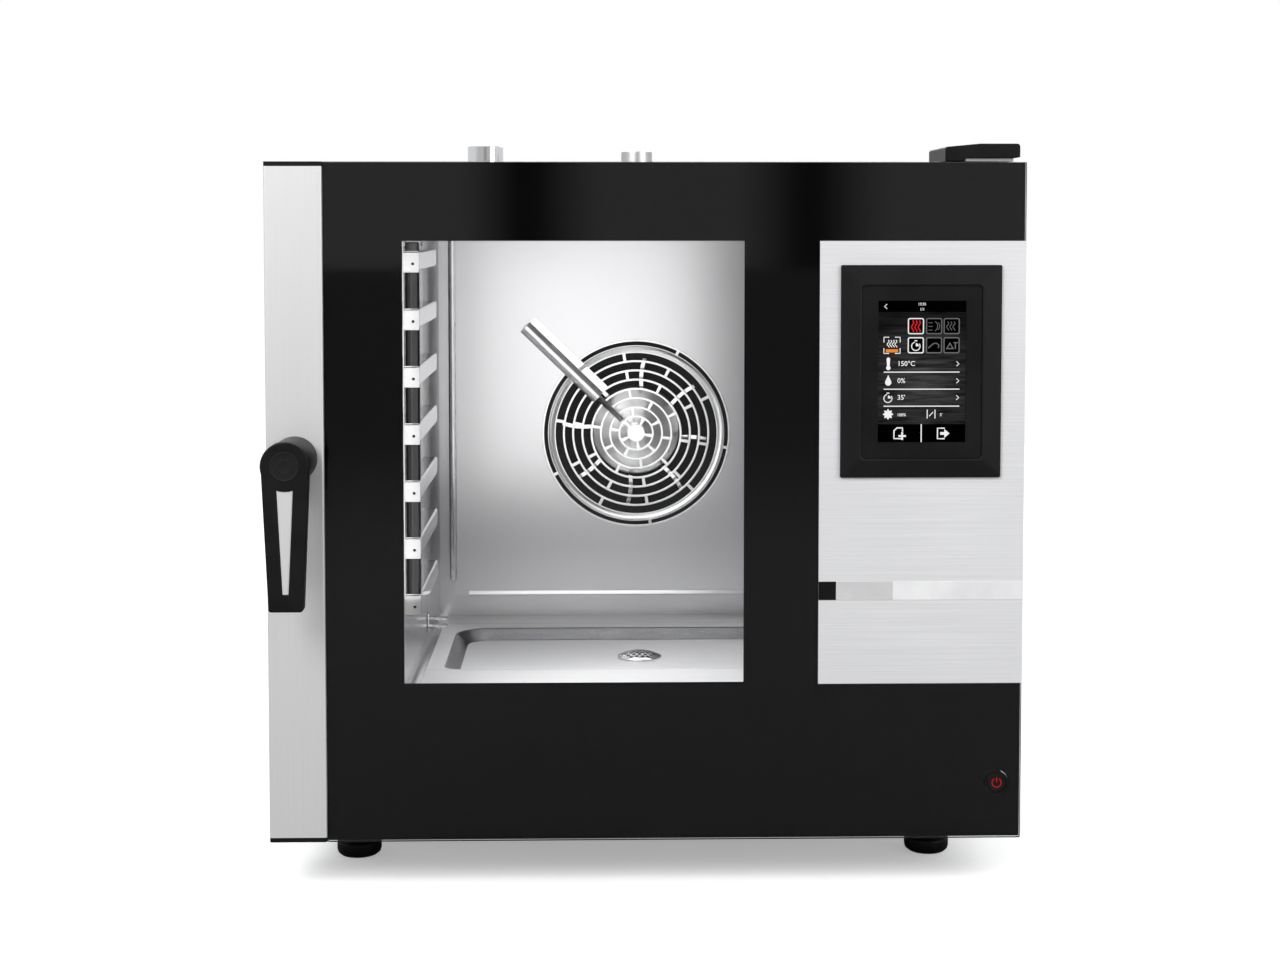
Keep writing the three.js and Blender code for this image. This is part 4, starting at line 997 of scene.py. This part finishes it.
def railCap(rack, x0, x1, front, lower):
    # the front plate of a rail, with a turned lip above and below
    upper = lower + rack["cap"]
    notch = circlePoints(x0 + 7, lower + 9, 1.7, 14)
    plate = plateMesh([roundRect(x0, x1, lower, upper, 1.5, 4), notch], 1.0, 0.25, 1)
    meshes = [standUp(plate, 0, (front + 0.6) * mm, 0)]
    for z in (lower, upper):
        meshes.append(boxMesh((x0 * mm, (front - 0.2) * mm, (z - rack["lip"]) * mm),
                              (x1 * mm, (front + 3.0) * mm, (z + rack["lip"]) * mm), 0.5 * mm))
    return meshes


def makeRack(node, side):
    low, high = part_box(node)
    rack = {"rails": 7, "pitch": 64.8, "tall": 22.0, "above": 14.0, "sheet": 1.5, "inset": 7.0, "post": 8.3,
            "front": 24.0, "rear": 30.0, "window": 40.0, "hole": (1.7, 4.8), "holeStep": 13.0, "cap": 21.0,
            "gap": 1.5, "lip": 0.7, "spacerIn": 8, "spacerUp": 10, "spacerTop": 705}
    inner, outer = (low.x, high.x) if side > 0 else (-high.x, -low.x)
    inner, outer = inner / mm, outer / mm
    front, rear, top = low.y / mm, high.y / mm, high.z / mm
    sheet = outer - rack["inset"] - rack["sheet"]
    lastTop = top - rack["above"] - (rack["rails"] - 1) * rack["pitch"]
    lowest = lastTop - rack["tall"] - rack["gap"] - rack["lip"]
    loops = [roundRect(front, rear, lowest, top, 5, 5)]
    plates, rails = [], []
    for i in range(rack["rails"]):
        railTop = top - rack["above"] - i * rack["pitch"]
        upper = railTop - rack["tall"] - rack["gap"]
        if i < rack["rails"] - 1:
            loops += rackOpenings(rack, front, rear, upper)
        plates += railCap(rack, inner + 0.2, sheet + 0.6, front, upper)
        rails.append(railMesh(rack, inner, sheet, front + 1.3, rear, railTop))
    plate = plateMesh(loops, rack["sheet"], 0.3, 1)
    sideways = Matrix(((0, 0, 1, 0), (1, 0, 0, 0), (0, 1, 0, 0), (0, 0, 0, 1)))
    plate.transform(Matrix.Translation(((sheet + rack["sheet"] / 2) * mm, 0, 0)) @ sideways)
    plates.append(plate)
    spacer = [(0, -1.6), (3.6, -1.6), (4.6, -1.0), (4.8, 0), (4, 0.2), (4, 7.8), (0, 7.8)]
    for z in (lowest + rack["spacerUp"], rack["spacerTop"]):
        for y in (front + rack["spacerIn"], rear - rack["spacerIn"]):
            plates.append(turnedMesh(spacer, (sheet * mm - 0.0001, y * mm, z * mm), "X", 32))
    # a near-black post stands between the rail caps at the front: painted dark reflection
    post = rack["post"]
    foot = lowest + 1.5
    length = top - foot - 4
    profile = [(0, 0), (post - 1.5, 0), (post, 1.5), (post, length - 1.5), (post - 1.5, length), (0, length)]
    place = ((inner + sheet) / 2 * mm, (front + post + 1.6) * mm, foot * mm)
    posts = [turnedMesh(profile, place, "Z", 48)]
    word = "Right" if side > 0 else "Left"
    for name, parts, finish, replaced in (("rackSheet" + word, plates, "rackSteel", [node]),
                                          ("rackRails" + word, rails, "railSteel", []),
                                          ("rackPosts" + word, posts, "upright", [])):
        mesh = joinMeshes(parts)
        if side < 0:
            mesh.transform(Matrix.Scale(-1, 4, (1, 0, 0)))
            mesh.flip_normals()
        finishMesh(name, mesh, finish, node, replaced, 35)


def railMesh(rack, inner, sheet, front, rear, railTop):
    # a C section with rounded bends, open towards the wall
    wall = 1.2
    x0, x1 = inner + wall / 2, sheet + 0.4
    z0, z1 = railTop - rack["tall"] + wall / 2, railTop - wall / 2
    bend = 2.2
    path = [(x1, z1)] + arcPoints(x0 + bend, z1 - bend, bend, math.pi / 2, math.pi, 5)
    path += arcPoints(x0 + bend, z0 + bend, bend, math.pi, 1.5 * math.pi, 5) + [(x1, z0)]
    return prismMesh(strokeLoop(path, wall), front * mm, rear * mm)


def makeStuds(node, side):
    low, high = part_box(node)
    thick, heights = 0.002, (192, 202)
    start = high.x - thick if side > 0 else low.x
    meshes = [boxMesh((start, low.y, low.z), (start + thick, high.y, high.z), 0.0006)]
    reach = (high.x - low.x) / mm
    profile = [(0, 0), (2.4, 0), (3.0, 0.8), (3.0, 9.4), (5.2, 10.0), (5.2, 11.6), (3.0, 12.2),
               (3.0, reach - 1), (0, reach - 1)]
    for z in heights:
        stud = turnedMesh(profile, (0, 0, 0), "X", 28)
        if side < 0:
            stud.transform(Matrix.Rotation(math.pi, 4, "Z"))
        stud.transform(Matrix.Translation((low.x if side > 0 else high.x, (low.y + high.y) / 2, z * mm)))
        meshes.append(stud)
    name = "rackStudsRight" if side > 0 else "rackStudsLeft"
    finishMesh(name, joinMeshes(meshes), "polished", "root", [node])


def makeScrews():
    # domed cross-head screws that hold the back and side sheets
    screw = {"rows": 5, "edge": 16.0, "end": 30.0, "rear": 822.0,
             "sideDepths": (130, 450, 770), "above": 18.0}
    dome = [(0, 2.3), (1.8, 2.2), (3.4, 1.6), (4.3, 0.5), (4.4, 0), (0, 0)]
    head = turnedMesh(dome, (0, 0, 0), "Z", 28)
    cross = [boxMesh((-0.0024, -0.0004, 0.001), (0.0024, 0.0004, 0.004)),
             boxMesh((-0.0004, -0.0024, 0.001), (0.0004, 0.0024, 0.004))]
    head = carve(head, (), cross)
    rearLow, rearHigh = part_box("rear_panel")
    spots = []
    end = screw["end"] * mm
    for i in range(screw["rows"]):
        z = rearLow.z + end + (rearHigh.z - rearLow.z - 2 * end) * i / (screw["rows"] - 1)
        for x in (rearLow.x + screw["edge"] * mm, rearHigh.x - screw["edge"] * mm):
            spots.append(((x, atDepth(screw["rear"]), z), Matrix.Rotation(-math.pi / 2, 4, "X")))
    for node, side in (("side_panel_left", -1), ("side_panel_right", 1)):
        low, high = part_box(node)
        x = low.x if side < 0 else high.x
        for d in screw["sideDepths"]:
            place = (x, atDepth(d), low.z + screw["above"] * mm)
            spots.append((place, Matrix.Rotation(side * math.pi / 2, 4, "Y")))
    meshes = []
    for place, turn in spots:
        copy = head.copy()
        copy.transform(Matrix.Translation(place) @ turn)
        meshes.append(copy)
    bpy.data.meshes.remove(head)
    finishMesh("sheetScrews", joinMeshes(meshes), "satin", "root")


def makeGuard():
    low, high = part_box("fan_guard")
    middle = (low + high) / 2
    guard = {"radius": 130.2, "rows": 8, "hub": 12.0, "pitch": 12.8, "wire": 2.9, "bridge": 4.2,
             "bridges": 5, "turn": -0.16, "rim": (122.2, 127.4)}
    share = 2 * math.pi / guard["bridges"]
    loops = [circlePoints(0, 0, guard["radius"], 144)]

    def slots(inner, outer, turn):
        half = guard["bridge"] / (inner + outer)
        for i in range(guard["bridges"]):
            start, end = turn + i * share + half, turn + (i + 1) * share - half
            steps = max(8, int((end - start) * outer / 4))
            outside = arcPoints(0, 0, outer, start, end, steps)
            loops.append(outside + arcPoints(0, 0, inner, end, start, steps))

    for row in range(guard["rows"]):
        inner = guard["hub"] + row * guard["pitch"]
        slots(inner, inner + guard["pitch"] - guard["wire"], guard["turn"] + row % 2 * share / 2)
    slots(*guard["rim"], guard["turn"])
    mesh = plateMesh(loops, (high.y - low.y) / mm, 0.35, 1)
    standUp(mesh, middle.x, middle.y, middle.z)
    bead = [(112.6, 0.2), (113.6, -0.4), (115.4, -1.7), (118.0, -2.4), (120.0, -1.6), (121.4, 0.2)]
    beadMesh = turnedMesh(bead, (middle.x, low.y, middle.z), "Y", 144, True)
    grille = joinMeshes([mesh, beadMesh])
    finishMesh("fanGuardGrille", grille, "grille", "root", ["fan_guard"], 25)


def makeWheel():
    centre = middleOf("fan_wheel")
    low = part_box("fan_wheel")[0]
    wheel = {"blades": 8, "first": 0.63, "bladeIn": 62, "bladeOut": 112, "plate": (48, 50.5)}
    near, far = wheel["plate"]
    cone = [(0, 5.4), (11, 5.4), (14, 6.4), (22, 9), (40, 13), (57, 18), (60.5, 20), (61.5, 24),
            (61.5, near), (0, near)]
    mesh = turnedMesh(cone, (centre.x, low.y, centre.z), "Y", 96)
    finishMesh("fanHubCone", mesh, "grille", "fan", ["fan_wheel"])
    # the back disc and front ring are near black: painted shade for the fan's housing seen through the guard
    disc = [(10.3, near), (113.4, near), (114, near + 0.6), (114, far - 0.6), (113.4, far), (10.3, far)]
    ring = [(103, 0), (113.6, 0), (114, 0.5), (114, 2), (112, 2.4), (103, 1.2)]
    meshes = [turnedMesh(disc, (centre.x, low.y, centre.z), "Y", 96, True),
              turnedMesh(ring, (centre.x, low.y, centre.z), "Y", 96, True)]
    finishMesh("fanDiscs", joinMeshes(meshes), "dark", "fan")
    blades = []
    step = (wheel["bladeOut"] - wheel["bladeIn"]) / 10
    for i in range(wheel["blades"]):
        angle = wheel["first"] + i * 2 * math.pi / wheel["blades"]
        # a curved sheet with a folded front edge, so its rim shows as a close pair of lines
        section = [(wheel["bladeIn"] + step * t, 3.2 * math.sin(t / 10 * math.pi)) for t in range(11)]
        sheet = prismMesh(strokeLoop(section, 1.2), 0.002, near * mm)
        fold = prismMesh(strokeLoop([(x, y + 4.2) for x, y in section], 1.0), 0.0006, 0.0022)
        web = prismMesh(strokeLoop([(x, y + 2.1) for x, y in section], 4.4), 0.0022, 0.003)
        for part in (sheet, fold, web):
            part.transform(Matrix.Translation((centre.x, low.y, centre.z)) @ Matrix.Rotation(-angle, 4, "Y"))
            blades.append(part)
    finishMesh("fanBlades", joinMeshes(blades), "polished", "fan")


def makeStrainer():
    low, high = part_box("drain_strainer")
    middle = (low + high) / 2
    strainer = {"radius": 29.0, "hole": 2.6, "pitch": 7.4, "dome": 6.4, "rim": 26.0}
    loops = [circlePoints(0, 0, strainer["radius"], 96)]
    for row in range(-3, 4):
        for column in range(-4, 5):
            x = (column + row % 2 / 2) * strainer["pitch"]
            y = row * strainer["pitch"] * math.sqrt(3) / 2
            if math.hypot(x, y) + strainer["hole"] < strainer["rim"]:
                loops.append(circlePoints(x, y, strainer["hole"], 16))
    mesh = plateMesh(loops, 1.2, 0.2, 1)
    for vert in mesh.vertices:
        away = math.hypot(vert.co.x, vert.co.y) / (strainer["radius"] * mm)
        vert.co.z -= strainer["dome"] * mm * away ** 2.4
    mesh.transform(Matrix.Translation((middle.x, middle.y, high.z - 0.7 * mm)))
    collar = [(20.5, -6), (22, -6), (22, 0.2), (20.5, 0.2)]
    wall = turnedMesh(collar, (middle.x, middle.y, low.z + 6 * mm), "Z", 64, True)
    whole = joinMeshes([mesh, wall])
    finishMesh("drainStrainer", whole, "polished", "strainer", ["drain_strainer"], 40)
    # a near-black disc under the dome: painted shade for the drain's hollow, seen through the holes
    basket = [(0, -0.6), (25, -0.6), (25.6, -0.2), (25.6, 0), (0, 0)]
    mesh = turnedMesh(basket, (middle.x, middle.y, high.z - 7.4 * mm), "Z", 64)
    finishMesh("strainerShadeDisc", mesh, "dark", "strainer")


def makeInjection():
    channel = {"seat": (-153.0, 579.6, 585.7), "length": 140, "tilt": -0.77, "radius": 9.5, "wall": 1.0,
               "flange": 11}
    x, d, z = channel["seat"]
    seat = Matrix.Translation((x * mm, atDepth(d), z * mm)) @ Matrix.Rotation(math.pi / 2, 4, "X")
    seat = seat @ Matrix.Rotation(channel["tilt"], 4, "Z")
    outer, inner = channel["radius"], channel["radius"] - channel["wall"]
    loop = arcPoints(0, 0, outer, 0, math.pi, 24) + arcPoints(0, 0, inner, math.pi, 0, 24)
    half = prismMesh(loop, 0, channel["length"] * mm)
    half.transform(Matrix.Rotation(-math.pi / 2, 4, "Z") @ Matrix.Scale(-1, 4, (1, 0, 0)))
    half.flip_normals()
    start = outer - 0.6
    shape = roundRect(0, channel["length"], start, start + channel["flange"], 2.0, 4)
    hole = circlePoints(14, start + channel["flange"] - 4.2, 1.3, 16)
    flange = plateMesh([shape, hole], channel["wall"], 0.2, 1)
    flange.transform(Matrix.Translation((0, 0, channel["wall"] / 2 * mm)))
    mesh = joinMeshes([half, flange])
    mesh.transform(seat)
    finishMesh("injectionChannel", mesh, "grille", "root", ["injection_channel"])


makeDoorGlass()
makeFasciaStripe()
makeBezel()
makeMenu()
makePowerButton()
print("door front done")
makeHandle()
makeHingeCover()
makeFeet()
makePipes()
print("handle, cover, feet and pipes done")
makeChamber()
makeBaffleFolds()
makeRack("rack_left", -1)
makeRack("rack_right", 1)
makeStuds("rack_stud_left", -1)
makeStuds("rack_stud_right", 1)
makeGuard()
makeWheel()
makeStrainer()
makeInjection()
makeScrews()
print("chamber pieces done")
